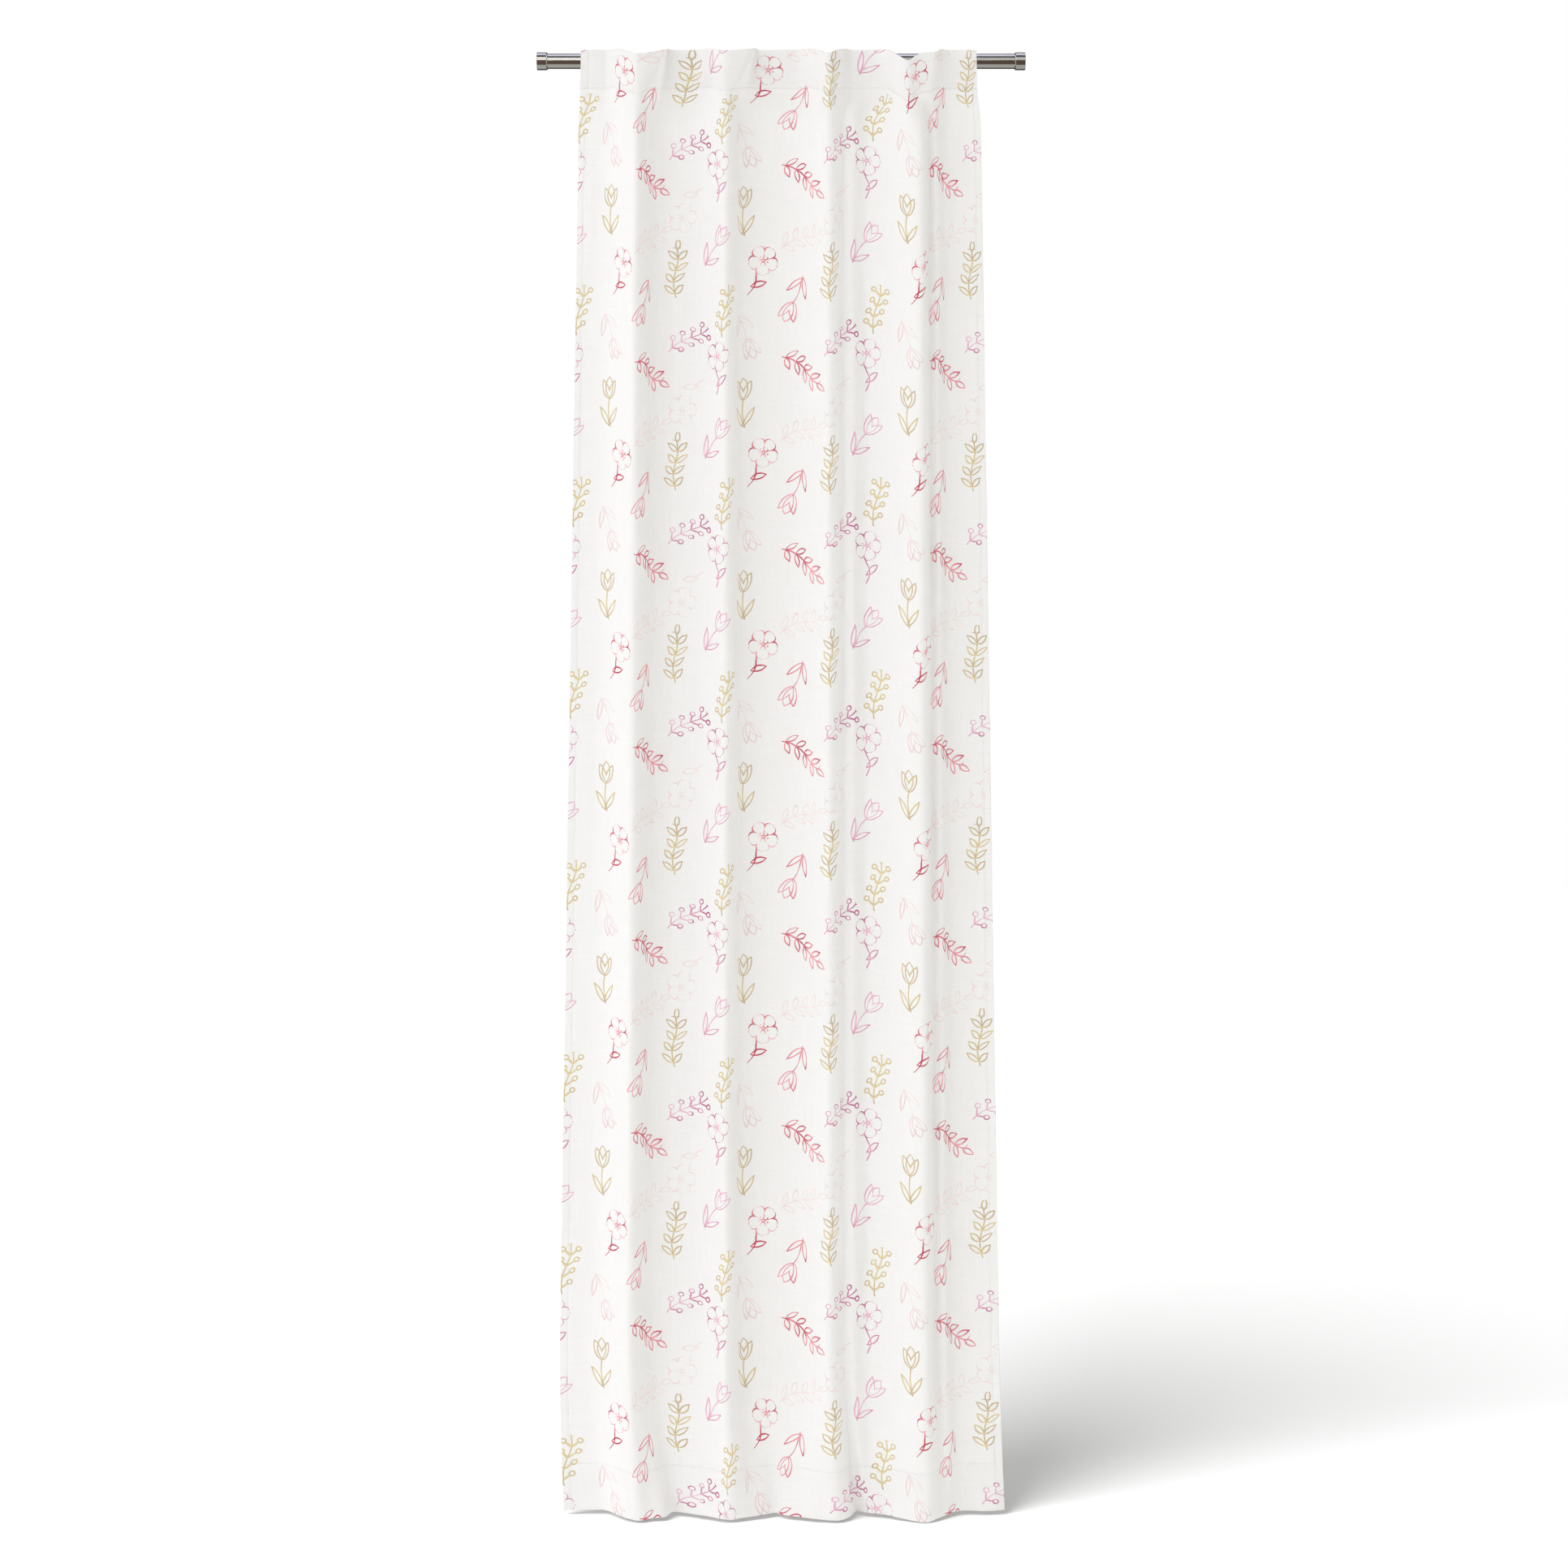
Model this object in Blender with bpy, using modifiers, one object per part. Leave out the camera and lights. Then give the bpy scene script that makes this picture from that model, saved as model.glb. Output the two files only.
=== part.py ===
"""Blackout curtain panel on a steel rod.

One sewn panel hangs by five hidden back tabs from a round steel rod, which has a
push-on cap at each end. Units are metres, +Z is up and the viewer stands at -Y.
The origin is on the rod's axis, half way along it.
"""

import math

import bmesh
import bpy
import numpy as np

# Rod and end caps
ROD_DIAMETER = 0.025
ROD_WALL = 0.001
ROD_OVERHANG = 0.0772
CAP_DIAMETER = 0.0294
CAP_LENGTH = 0.0177
CAP_FACE = 0.002
CAP_OUTER_ROUND = 0.0009
CAP_INNER_BEVEL = 0.0016

# Curtain panel
DROP = 2.4375
TOP_WIDTH = 0.663
HEM_WIDTH = 0.736
CLOTH_THICKNESS = 0.001
TOP_ABOVE_ROD = 0.0026
HEADER_HEIGHT = 0.065
HEM_HEIGHT = 0.080
SIDE_HEM_WIDTH = 0.013
SEAM_STEP = 0.0012

# Fullness: how far the folds stand forward of the flats at the tabs
HEADER_FOLD = 0.050
MIDDLE_FOLD = 0.058
HEM_FOLD = 0.060
# The header's folds lose this share of their depth down to the stitch line
HEADER_LEAN = 0.20
# Just below the stitch line the folds settle, and above the floor they spread out
SETTLE_HEIGHT = 0.058
SPREAD_HEIGHT = 0.3375
# How far each bulge of the header sags between its tabs, and the share left at the hem
BULGE_DROOP = (0.018, 0.013, 0.0165, 0.0265)
DROOP_LEFT_AT_HEM = 0.22
# How far each bulge's right flank is drawn in towards its foot at the top edge
FLANK_PULL = (0.74, 0.79, 0.15, 0.30)

# Back tabs
TAB_WIDTH = 0.046
TAB_THICKNESS = 0.001
TAB_TURN_RADIUS = 0.0012
TAB_SEAM_ALLOWANCE = 0.009
TAB_BELOW_TOP = 0.0008

# Space between pieces that touch
CONTACT_GAP = 0.0003

# Mesh fineness
TURNED_STEPS = 48
ROUND_POINTS = 4
MERGE_DISTANCE = 0.00001
SHARP_ANGLE = math.radians(35)
COLUMNS_PER_STATION = 2
HEADER_ROWS = 4
SETTLE_ROWS = 5
BODY_ROWS = 4
SPREAD_ROWS = 5
HEM_ROWS = 3
TAB_TURN_POINTS = 6
TAB_WRAP_POINTS = 20

# Fold sections, seen from above, from the left edge to the right edge. Each pair is
# (across, forward): percent of the half width, and percent of the fold depth. All
# three have the same stations, so a station follows one thread down the cloth.
HEADER_SECTION = (
    (-100.9, 1), (-92.5, 0), (-88, 1.5), (-83.5, 22), (-78.5, 70), (-71.5, 100), (-65.8, 64), (-60, 52),
    (-55.8, 2), (-47, 0), (-41, 2), (-37.5, 28), (-33.5, 76), (-27.5, 100), (-22.5, 64), (-17, 54),
    (-11.5, 2), (-1, 0), (8, 2), (13, 26), (18, 74), (23, 100), (26.5, 66), (30, 50),
    (33.5, 3), (39, 0), (47, 2), (52, 26), (57, 74), (63.5, 106), (69.5, 74), (75, 62),
    (79.5, 14), (83, 1), (86, 0), (90, 0), (95, 1), (98.4, 2),
)
MIDDLE_SECTION = (
    (-101.5, 2), (-94.5, 6), (-87.5, 14), (-81.5, 34), (-76.5, 66), (-70.2, 99), (-65.2, 68), (-62, 24),
    (-57.5, 15), (-51, 27), (-46.5, 27), (-39.5, 34), (-34, 56), (-27, 99), (-22.8, 80), (-19.2, 25),
    (-13, 17), (-3.5, 20.5), (5, 27), (11, 43), (16, 72), (22.3, 100), (26.3, 84), (28.2, 58),
    (29.6, 46), (34, 60), (40, 34), (45, 46), (53.5, 66), (65.7, 102), (70, 82), (72, 44),
    (75.7, 55), (80, 12), (85, 1), (89.5, 0), (95, 3), (99.9, 8),
)
HEM_SECTION = (
    (-98.5, 6), (-90, 0), (-80.5, 3), (-74.5, 50), (-69, 86), (-63.5, 98), (-57.5, 84), (-52, 74),
    (-49.3, 27), (-44.5, 34), (-37.5, 58), (-32, 78), (-27, 94), (-22.3, 98), (-17.5, 84), (-12, 68),
    (-6, 47), (-2.2, 34), (1, 60), (8, 80), (15, 92), (25.2, 99), (30.3, 78), (32.6, 44),
    (34, 14), (38, 32), (42, 42), (48, 60), (55, 82), (65, 100), (70, 82), (74.5, 46),
    (78, 26), (81.5, 12), (86, 12), (91, 15), (96.5, 12), (101.5, 0),
)

# Stations of the header where the cloth lies flat on the rod, one for each back tab
TAB_STATIONS = (1, 9, 17, 25, 35)

ROD_RADIUS = ROD_DIAMETER / 2
OVERALL_LENGTH = TOP_WIDTH + 2 * ROD_OVERHANG
TUBE_LENGTH = OVERALL_LENGTH - 2 * (CAP_FACE + CONTACT_GAP)
PANEL_TOP = ROD_RADIUS + TOP_ABOVE_ROD
PANEL_BACK = -(ROD_RADIUS + CONTACT_GAP)
PANEL_FRONT = PANEL_BACK - 2 * CLOTH_THICKNESS


def clear_scene():
    """Remove the start-up objects."""
    for leftover in list(bpy.data.objects):
        bpy.data.objects.remove(leftover)


def surface(name, colour, roughness, metallic):
    """Return a Principled material."""
    material = bpy.data.materials.new(name)
    material.use_nodes = True
    shader = material.node_tree.nodes["Principled BSDF"]
    shader.inputs["Base Color"].default_value = (*colour, 1.0)
    shader.inputs["Roughness"].default_value = roughness
    shader.inputs["Metallic"].default_value = metallic
    return material


def add_piece(name, mesh, material, parent):
    """Put a mesh in the curtain's collection as one named piece."""
    piece = bpy.data.objects.new(name, mesh)
    piece.data.materials.append(material)
    piece.parent = parent
    bpy.data.collections["blackout_curtain"].objects.link(piece)
    return piece


def turned_mesh(name, profile, closed):
    """Turn a profile of (radius, height) points round Z and return the finished mesh."""
    outline = bpy.data.meshes.new(name + "_profile")
    edges = [(i, i + 1) for i in range(len(profile) - 1)]
    if closed:
        edges.append((len(profile) - 1, 0))
    outline.from_pydata([(radius, 0.0, height) for radius, height in profile], edges, [])
    blank = bpy.data.objects.new(name + "_blank", outline)
    bpy.context.scene.collection.objects.link(blank)
    screw = blank.modifiers.new("turn", "SCREW")
    screw.steps = TURNED_STEPS
    screw.render_steps = TURNED_STEPS
    screw.use_merge_vertices = True
    screw.merge_threshold = MERGE_DISTANCE
    evaluated = blank.evaluated_get(bpy.context.evaluated_depsgraph_get())
    mesh = bpy.data.meshes.new_from_object(evaluated)
    mesh.name = name
    mesh.shade_smooth()
    mesh.set_sharp_from_angle(angle=SHARP_ANGLE)
    bpy.data.objects.remove(blank)
    return mesh


def make_rod(material, parent):
    """The rod: an open steel tube along X."""
    half = TUBE_LENGTH / 2
    bore = ROD_RADIUS - ROD_WALL
    profile = [(ROD_RADIUS, half), (ROD_RADIUS, -half), (bore, -half), (bore, half)]
    rod = add_piece("rod", turned_mesh("rod", profile, closed=True), material, parent)
    rod.rotation_euler = (0, math.radians(90), 0)


def make_end_cap(name, side, material, parent):
    """A push-on cap: a cup whose skirt slides over the tube, bevelled where it ends."""
    outer = CAP_DIAMETER / 2
    inner = ROD_RADIUS + CONTACT_GAP
    profile = [(0.0, 0.0)]
    for angle in np.linspace(math.pi / 2, 0, ROUND_POINTS):
        radius = outer - CAP_OUTER_ROUND * (1 - math.cos(angle))
        profile.append((radius, -CAP_OUTER_ROUND * (1 - math.sin(angle))))
    profile += [
        (outer, -(CAP_LENGTH - CAP_INNER_BEVEL)),
        (outer - CAP_INNER_BEVEL, -CAP_LENGTH),
        (inner, -CAP_LENGTH),
        (inner, -CAP_FACE),
        (0.0, -CAP_FACE),
    ]
    cap = add_piece(name, turned_mesh(name, profile, closed=False), material, parent)
    cap.rotation_euler = (0, math.radians(90 * side), 0)
    cap.location = (side * OVERALL_LENGTH / 2, 0, 0)


def along_section(section, stations):
    """Read a fold section at fractional stations, on a smooth curve through its points."""
    points = np.array(section, dtype=float) / 100
    before = 2 * points[0] - points[1]
    after = 2 * points[-1] - points[-2]
    padded = np.vstack([before, points, after])
    index = np.clip(stations.astype(int), 0, len(points) - 2)
    s = (stations - index)[:, None]
    p0, p1, p2, p3 = (padded[index + k] for k in range(4))
    bend = 2 * p0 - 5 * p1 + 4 * p2 - p3
    twist = 3 * (p1 - p2) + p3 - p0
    curve = p1 + 0.5 * ((p2 - p0) * s + bend * s**2 + twist * s**3)
    across, forward = curve.T
    return across, np.maximum(forward, 0.0)


def smooth_step(low, high, value):
    """0 below low, 1 above high, and a smooth rise between."""
    t = np.clip((value - low) / (high - low), 0, 1)
    return t * t * (3 - 2 * t)


def cloth_row(down, stations):
    """Places of one row of cloth, at a distance down from the top edge."""
    x_top, f_top = along_section(HEADER_SECTION, stations)
    x_mid, f_mid = along_section(MIDDLE_SECTION, stations)
    x_hem, f_hem = along_section(HEM_SECTION, stations)
    to_middle = smooth_step(HEADER_HEIGHT, HEADER_HEIGHT + SETTLE_HEIGHT, down)
    to_hem = np.clip(1 - (DROP - down) / SPREAD_HEIGHT, 0, 1) ** 2
    in_header = 1 - np.clip(down / HEADER_HEIGHT, 0, 1)

    top_forward = HEADER_FOLD * f_top * (1 - HEADER_LEAN * (1 - in_header))
    forward = top_forward + to_middle * (MIDDLE_FOLD * f_mid - top_forward)
    forward = forward + to_hem * (HEM_FOLD * f_hem - MIDDLE_FOLD * f_mid)

    top_half = TOP_WIDTH / 2
    hem_half = HEM_WIDTH / 2
    middle_half = (top_half + hem_half) / 2
    half_width = top_half + (hem_half - top_half) * down / DROP
    x = x_top * top_half + to_middle * (x_mid * middle_half - x_top * top_half)
    x = x + to_hem * (x_hem * hem_half - x_mid * middle_half)
    own_half = top_half + to_middle * (middle_half - top_half) + to_hem * (hem_half - middle_half)
    x = x + x_mid**3 * (half_width - own_half)

    span = np.clip(np.searchsorted(TAB_STATIONS, stations) - 1, 0, len(BULGE_DROOP) - 1)
    droop = np.array(BULGE_DROOP)[span] * f_top**2 * (1 - (1 - DROOP_LEFT_AT_HEM) * down / DROP)
    start = np.array(TAB_STATIONS)[span]
    end = np.array(TAB_STATIONS)[span + 1]
    part_way = (stations - start) / (end - start)
    foot, _ = along_section(HEADER_SECTION, end - 1.0)
    pull = np.array(FLANK_PULL)[span] * smooth_step(0.5, 0.62, part_way) * (stations < end)
    x = x + np.maximum(foot * top_half - x, 0) * pull * in_header

    y = PANEL_FRONT - forward
    z = PANEL_TOP - down - droop
    return np.stack([x, y, z], axis=1)


def row_levels():
    """Distances down from the top edge of every row of the panel's mesh."""
    settled = HEADER_HEIGHT + SETTLE_HEIGHT
    spreading = DROP - SPREAD_HEIGHT
    header = np.linspace(0, HEADER_HEIGHT, HEADER_ROWS + 1)
    settle = np.linspace(HEADER_HEIGHT + SEAM_STEP, settled, SETTLE_ROWS + 1)
    body = np.linspace(settled, spreading, BODY_ROWS + 1)[1:]
    spread = np.linspace(spreading, DROP - HEM_HEIGHT - SEAM_STEP, SPREAD_ROWS + 1)[1:]
    hem = np.linspace(DROP - HEM_HEIGHT, DROP, HEM_ROWS + 1)
    return np.concatenate([header, settle, body, spread, hem])


def make_panel(material, parent):
    """The panel: a loft of the fold sections, with doubled cloth in every hem."""
    gaps = len(HEADER_SECTION) - 1
    stations = np.linspace(0, gaps, gaps * COLUMNS_PER_STATION + 1)
    levels = row_levels()
    rows = [cloth_row(down, stations) for down in levels]
    steps = np.linalg.norm(np.diff(rows[0], axis=0), axis=1)
    along = np.concatenate([[0], np.cumsum(steps)])
    side_hem = (along < SIDE_HEM_WIDTH) | (along > along[-1] - SIDE_HEM_WIDTH)

    sheet = bmesh.new()
    grid = [[sheet.verts.new(place) for place in row] for row in rows]
    for above, below in zip(grid, grid[1:]):
        for j in range(len(stations) - 1):
            sheet.faces.new((above[j], below[j], below[j + 1], above[j + 1]))
    mesh = bpy.data.meshes.new("curtain_panel")
    sheet.to_mesh(mesh)
    sheet.free()
    mesh.shade_smooth()

    panel = add_piece("curtain_panel", mesh, material, parent)
    doubled = panel.vertex_groups.new(name="hems")
    columns = len(stations)
    for i, down in enumerate(levels):
        cross_hem = down <= HEADER_HEIGHT or down >= DROP - HEM_HEIGHT
        in_hem = [i * columns + j for j in range(columns) if cross_hem or side_hem[j]]
        doubled.add(in_hem, 1.0, "REPLACE")
    thicken = panel.modifiers.new("cloth", "SOLIDIFY")
    thicken.thickness = 2 * CLOTH_THICKNESS
    thicken.offset = -1
    thicken.vertex_group = doubled.name
    thicken.thickness_vertex_group = 0.5


def tab_path():
    """Centre line of a back tab in the YZ plane, from its top foot round the rod."""
    seat = ROD_RADIUS + CONTACT_GAP + TAB_THICKNESS / 2
    foot_y = PANEL_BACK + CONTACT_GAP + TAB_THICKNESS / 2
    clear_of_rod = ROD_RADIUS - TAB_THICKNESS - 2 * CONTACT_GAP
    foot_low = math.sqrt(ROD_RADIUS**2 - clear_of_rod**2)
    turn_y = foot_y + TAB_TURN_RADIUS
    turn_z = PANEL_TOP - TAB_BELOW_TOP - TAB_THICKNESS / 2 - TAB_TURN_RADIUS
    run = math.hypot(turn_y, turn_z)
    lift = math.acos((TAB_TURN_RADIUS - seat) / run)
    leave = math.atan2(-turn_z, -turn_y) + lift
    seam_z = PANEL_TOP - HEADER_HEIGHT + TAB_SEAM_ALLOWANCE
    seam_reach = math.hypot(foot_y, seam_z)
    release = math.atan2(seam_z, foot_y) + math.acos(seat / seam_reach)

    path = [(foot_y, foot_low)]
    for angle in np.linspace(math.pi, leave, TAB_TURN_POINTS):
        y = turn_y + TAB_TURN_RADIUS * math.cos(angle)
        path.append((y, turn_z + TAB_TURN_RADIUS * math.sin(angle)))
    for angle in np.linspace(leave, release, TAB_WRAP_POINTS):
        path.append((seat * math.cos(angle), seat * math.sin(angle)))
    path.append((foot_y, seam_z))
    path.append((foot_y, PANEL_TOP - HEADER_HEIGHT))
    return path


def make_back_tab(name, centre_x, material, parent):
    """A back tab: a strip sewn to the header at both ends, with the rod inside it."""
    strip = bmesh.new()
    left = [strip.verts.new((-TAB_WIDTH / 2, y, z)) for y, z in tab_path()]
    right = [strip.verts.new((TAB_WIDTH / 2, y, z)) for y, z in tab_path()]
    for i in range(len(left) - 1):
        strip.faces.new((left[i], right[i], right[i + 1], left[i + 1]))
    mesh = bpy.data.meshes.new(name)
    strip.to_mesh(mesh)
    strip.free()
    mesh.shade_smooth()
    mesh.set_sharp_from_angle(angle=SHARP_ANGLE)
    tab = add_piece(name, mesh, material, parent)
    tab.location = (centre_x, 0, 0)
    thicken = tab.modifiers.new("cloth", "SOLIDIFY")
    thicken.thickness = TAB_THICKNESS
    thicken.offset = 0
    thicken.use_even_offset = True


def build():
    """Model the curtain on its rod."""
    clear_scene()
    curtain = bpy.data.collections.new("blackout_curtain")
    bpy.context.scene.collection.children.link(curtain)
    rod_axis = bpy.data.objects.new("rod_axis", None)
    curtain.objects.link(rod_axis)

    cloth = surface("white_blackout_cloth", (0.90, 0.90, 0.89), 0.85, 0.0)
    tape = surface("white_tab_tape", (0.86, 0.86, 0.85), 0.88, 0.0)
    steel = surface("brushed_steel", (0.42, 0.42, 0.43), 0.32, 1.0)

    make_panel(cloth, rod_axis)
    tab_stations = np.array(TAB_STATIONS, dtype=float)
    tab_places, _ = along_section(HEADER_SECTION, tab_stations)
    for number, share in enumerate(tab_places, start=1):
        make_back_tab(f"back_tab_{number}", share * TOP_WIDTH / 2, tape, rod_axis)
    make_rod(steel, rod_axis)
    make_end_cap("end_cap_left", -1, steel, rod_axis)
    make_end_cap("end_cap_right", 1, steel, rod_axis)


build()
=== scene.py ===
# %% [markdown]
# A blackout curtain on a steel rod, dressed for a picture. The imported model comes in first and
# stays where it is: every visible piece below is made in the same metres and the same place.
# The rod's axis is the X axis, the viewer stands at -Y and Z points up.

# %% Load the fixed frame
import math

import bpy
import numpy as np
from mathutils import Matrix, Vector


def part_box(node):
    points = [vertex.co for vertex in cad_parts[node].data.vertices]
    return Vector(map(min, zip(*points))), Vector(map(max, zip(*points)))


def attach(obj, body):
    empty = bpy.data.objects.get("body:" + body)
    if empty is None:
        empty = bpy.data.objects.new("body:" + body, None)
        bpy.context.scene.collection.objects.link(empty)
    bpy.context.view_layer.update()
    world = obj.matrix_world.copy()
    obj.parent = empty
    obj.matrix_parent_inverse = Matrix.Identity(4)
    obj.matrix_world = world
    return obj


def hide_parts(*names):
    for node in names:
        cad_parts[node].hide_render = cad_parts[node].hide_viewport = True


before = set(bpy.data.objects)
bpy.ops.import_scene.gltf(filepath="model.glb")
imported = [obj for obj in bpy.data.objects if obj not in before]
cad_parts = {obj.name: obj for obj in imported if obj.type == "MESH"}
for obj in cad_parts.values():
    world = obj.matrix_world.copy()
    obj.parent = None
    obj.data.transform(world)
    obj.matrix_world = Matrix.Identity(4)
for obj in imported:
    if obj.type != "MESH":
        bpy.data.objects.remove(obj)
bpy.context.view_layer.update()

print("frame pieces:", sorted(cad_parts))

# %% [markdown]
# Colours are written as the sRGB hex values a paint chart would give. Blender's shaders work
# in linear light, so one function turns the one into the other. A second one adds a node, so
# that a material reads as a list of steps, and the last puts a new object into the scene.

# %% Colour, node and object helpers
def linear(hex_colour):
    """Return an sRGB hex colour as linear red, green, blue and an alpha of 1."""
    values = [int(hex_colour[i:i + 2], 16) / 255 for i in (1, 3, 5)]
    return (*[v / 12.92 if v <= 0.04045 else ((v + 0.055) / 1.055) ** 2.4 for v in values], 1.0)


def add(tree, kind, *values, sockets=None, **settings):
    """Add a node, set its settings, and set or link its sockets, in order or by name."""
    node = tree.nodes.new(kind if kind.startswith("Node") else "ShaderNode" + kind)
    for name, value in settings.items():
        setattr(node, name, value)
    for key, value in {**dict(enumerate(values)), **(sockets or {})}.items():
        if isinstance(value, bpy.types.Node):
            value = value.outputs[0]
        if isinstance(value, bpy.types.NodeSocket):
            tree.links.new(value, node.inputs[key])
        else:
            node.inputs[key].default_value = value
    return node


def empty_tree(owner):
    """Give a material or the world an empty node tree."""
    owner.use_nodes = True
    owner.node_tree.nodes.clear()
    return owner.node_tree


def new_material(name):
    """Return a material and its empty node tree."""
    material = bpy.data.materials.new(name)
    return material, empty_tree(material)


def show(name, data):
    """Put a mesh, a lamp or the camera into the scene as an object."""
    shown = bpy.data.objects.new(name, data)
    bpy.context.scene.collection.objects.link(shown)
    return shown


WHITE = linear("#FFFFFF")
CLOTH_WHITE = linear("#F5F4F3")
print("white cloth in linear light:", [round(v, 3) for v in CLOTH_WHITE])

# %% [markdown]
# The photograph was taken from about five metres, level with the middle of the curtain, with
# the back of the camera upright, so that upright edges stay upright. One pixel of the
# 1932 pixel frame is 1.36 mm at the rod.

# %% Camera
IMAGE_WIDTH = 1932
CAMERA_DISTANCE = 5.0
CAMERA_HEIGHT = -1.2104
CAMERA_ACROSS = 0.0048
MM_PER_PIXEL = 1.3594
SENSOR_WIDTH = 36.0

view_width = IMAGE_WIDTH * MM_PER_PIXEL / 1000
camera_data = bpy.data.cameras.new("camera")
camera_data.sensor_width = SENSOR_WIDTH
camera_data.lens = SENSOR_WIDTH * CAMERA_DISTANCE / view_width
camera = show("camera", camera_data)
camera.location = (CAMERA_ACROSS, -CAMERA_DISTANCE, CAMERA_HEIGHT)
camera.rotation_euler = (math.radians(90), 0, 0)
bpy.context.scene.camera = camera
bpy.context.scene.view_settings.view_transform = "Standard"
print("lens", round(camera_data.lens, 2), "mm, frame", round(view_width, 3), "m wide at the rod")

# %% [markdown]
# Light: a white room gives most of it. Its left side is much brighter than its right side, so
# every fold has a bright left side and a dim right one, without hard shadows between. The dim
# side is a little creamier too, as a wall away from the window is. A large soft lamp high on
# the left adds to this. A second one, in front on the left, lights only the floor and throws
# the long soft shadow there. Where the camera looks straight at the world, it is pure white.

# %% Room light and lamps
ROOM_LIGHT = 0.797
ROOM_LEAN = 0.27
WALL_CREAM = "#FFFEED"
CREAM_STARTS = -0.1
KEY_STRENGTH = 0.345
FLOOR_LAMP_STRENGTH = 5.3

world = bpy.data.worlds.new("white_room")
bpy.context.scene.world = world
room = empty_tree(world)
ray = add(room, "LightPath")
seen = add(room, "Math", ray.outputs["Is Camera Ray"], ray.outputs["Is Glossy Ray"],
           operation="MAXIMUM")
seen = add(room, "Math", seen, ray.outputs["Is Transmission Ray"], operation="MAXIMUM")
to_right, _, _ = add(room, "SeparateXYZ", add(room, "TexCoord").outputs["Generated"]).outputs
leaning = add(room, "Math", to_right, -ROOM_LEAN * ROOM_LIGHT, ROOM_LIGHT, operation="MULTIPLY_ADD")
level = add(room, "Mix", sockets={0: seen, 2: leaning, 3: 1.0})
cream = add(room, "MapRange", to_right, CREAM_STARTS, 1.0, 0.0, 1.0)
wall_colour = add(room, "Mix", data_type="RGBA",
                  sockets={0: cream, 6: WHITE, 7: linear(WALL_CREAM)}).outputs[2]
room_colour = add(room, "Mix", data_type="RGBA", sockets={0: seen, 6: wall_colour, 7: WHITE}).outputs[2]
add(room, "OutputWorld", add(room, "Background", room_colour, level))


def add_sun(name, strength, from_left, elevation, spread):
    """Add a distant lamp. Angles are in degrees, from_left from the viewer's own direction."""
    sun = bpy.data.lights.new(name, "SUN")
    sun.energy = strength
    sun.angle = math.radians(spread)
    lamp = show(name, sun)
    lamp.rotation_euler = (math.radians(90 - elevation), 0, math.radians(-from_left))
    return lamp


key_lamp = add_sun("key_lamp", KEY_STRENGTH, from_left=55, elevation=30, spread=60)
floor_lamp = add_sun("floor_lamp", FLOOR_LAMP_STRENGTH, from_left=38, elevation=39, spread=40)
print("lamps:", key_lamp.name, floor_lamp.name)

# %% [markdown]
# The floor is a seamless white sheet 2 mm below the hem. Its own colour is a light grey, so
# that the shadow on it can be as deep as in the photograph, and a lamp that lights only the
# floor brings the open floor back to white. The camera also gets a little extra, so that the
# floor's far edge melts into the white world.

# %% Floor
HEM_ABOVE_FLOOR = 0.002
FLOOR_SIZE = 60.0
FLOOR_LIFT = 0.03

floor_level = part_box("curtain_panel")[0].z - HEM_ABOVE_FLOOR
corners = ((-1, -1), (1, -1), (1, 1), (-1, 1))
places = [(x * FLOOR_SIZE / 2, y * FLOOR_SIZE / 2, floor_level) for x, y in corners]
floor_mesh = bpy.data.meshes.new("floor")
floor_mesh.from_pydata(places, [], [(0, 1, 2, 3)])
floor = show("floor", floor_mesh)

paper, tree = new_material("matt_white_paper")
lift = add(tree, "Math", add(tree, "LightPath").outputs["Is Camera Ray"], FLOOR_LIFT,
           operation="MULTIPLY")
matt = add(tree, "BsdfDiffuse", linear("#C5C5C6"))
glow = add(tree, "Emission", WHITE, lift)
add(tree, "OutputMaterial", add(tree, "AddShader", matt, glow))
floor_mesh.materials.append(paper)

lit_by_floor_lamp = bpy.data.collections.new("lit_by_floor_lamp")
lit_by_floor_lamp.objects.link(floor)
floor_lamp.light_linking.receiver_collection = lit_by_floor_lamp
print("floor at", round(floor_level, 4), "m")

# %% [markdown]
# A polished round tube shows its surroundings as bands along its length. In the photograph
# they are, from the top: pale, a dark line, a bright cream band, a wide dark brown one and
# grey below. A sleeve of cards round the rod's axis, which only reflections can see, gives
# the steel those bands. It stands 2.2 m from the rod, and lights nothing.

# %% Reflection cards
CARD_DISTANCE = 2.2
CARD_HALF_LENGTH = 4.0
CARD_STEPS = 12
LEVEL_REACH = 0.5
# Each band ends at an angle above the viewer's direction, in degrees. It has a colour, and a
# level LEVEL_REACH to the left of the middle and one as far to the right.
CARD_BANDS = (
    (-60, "#E4E6DE", 1.00, 0.96), (4, "#7A695F", 1.00, 0.92), (44, "#FFFFF6", 1.95, 1.05),
    (73, "#66667A", 0.68, 0.66), (115, "#F0F0FF", 1.62, 1.66), (235, "#8C8C92", 0.50, 0.52),
)


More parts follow.
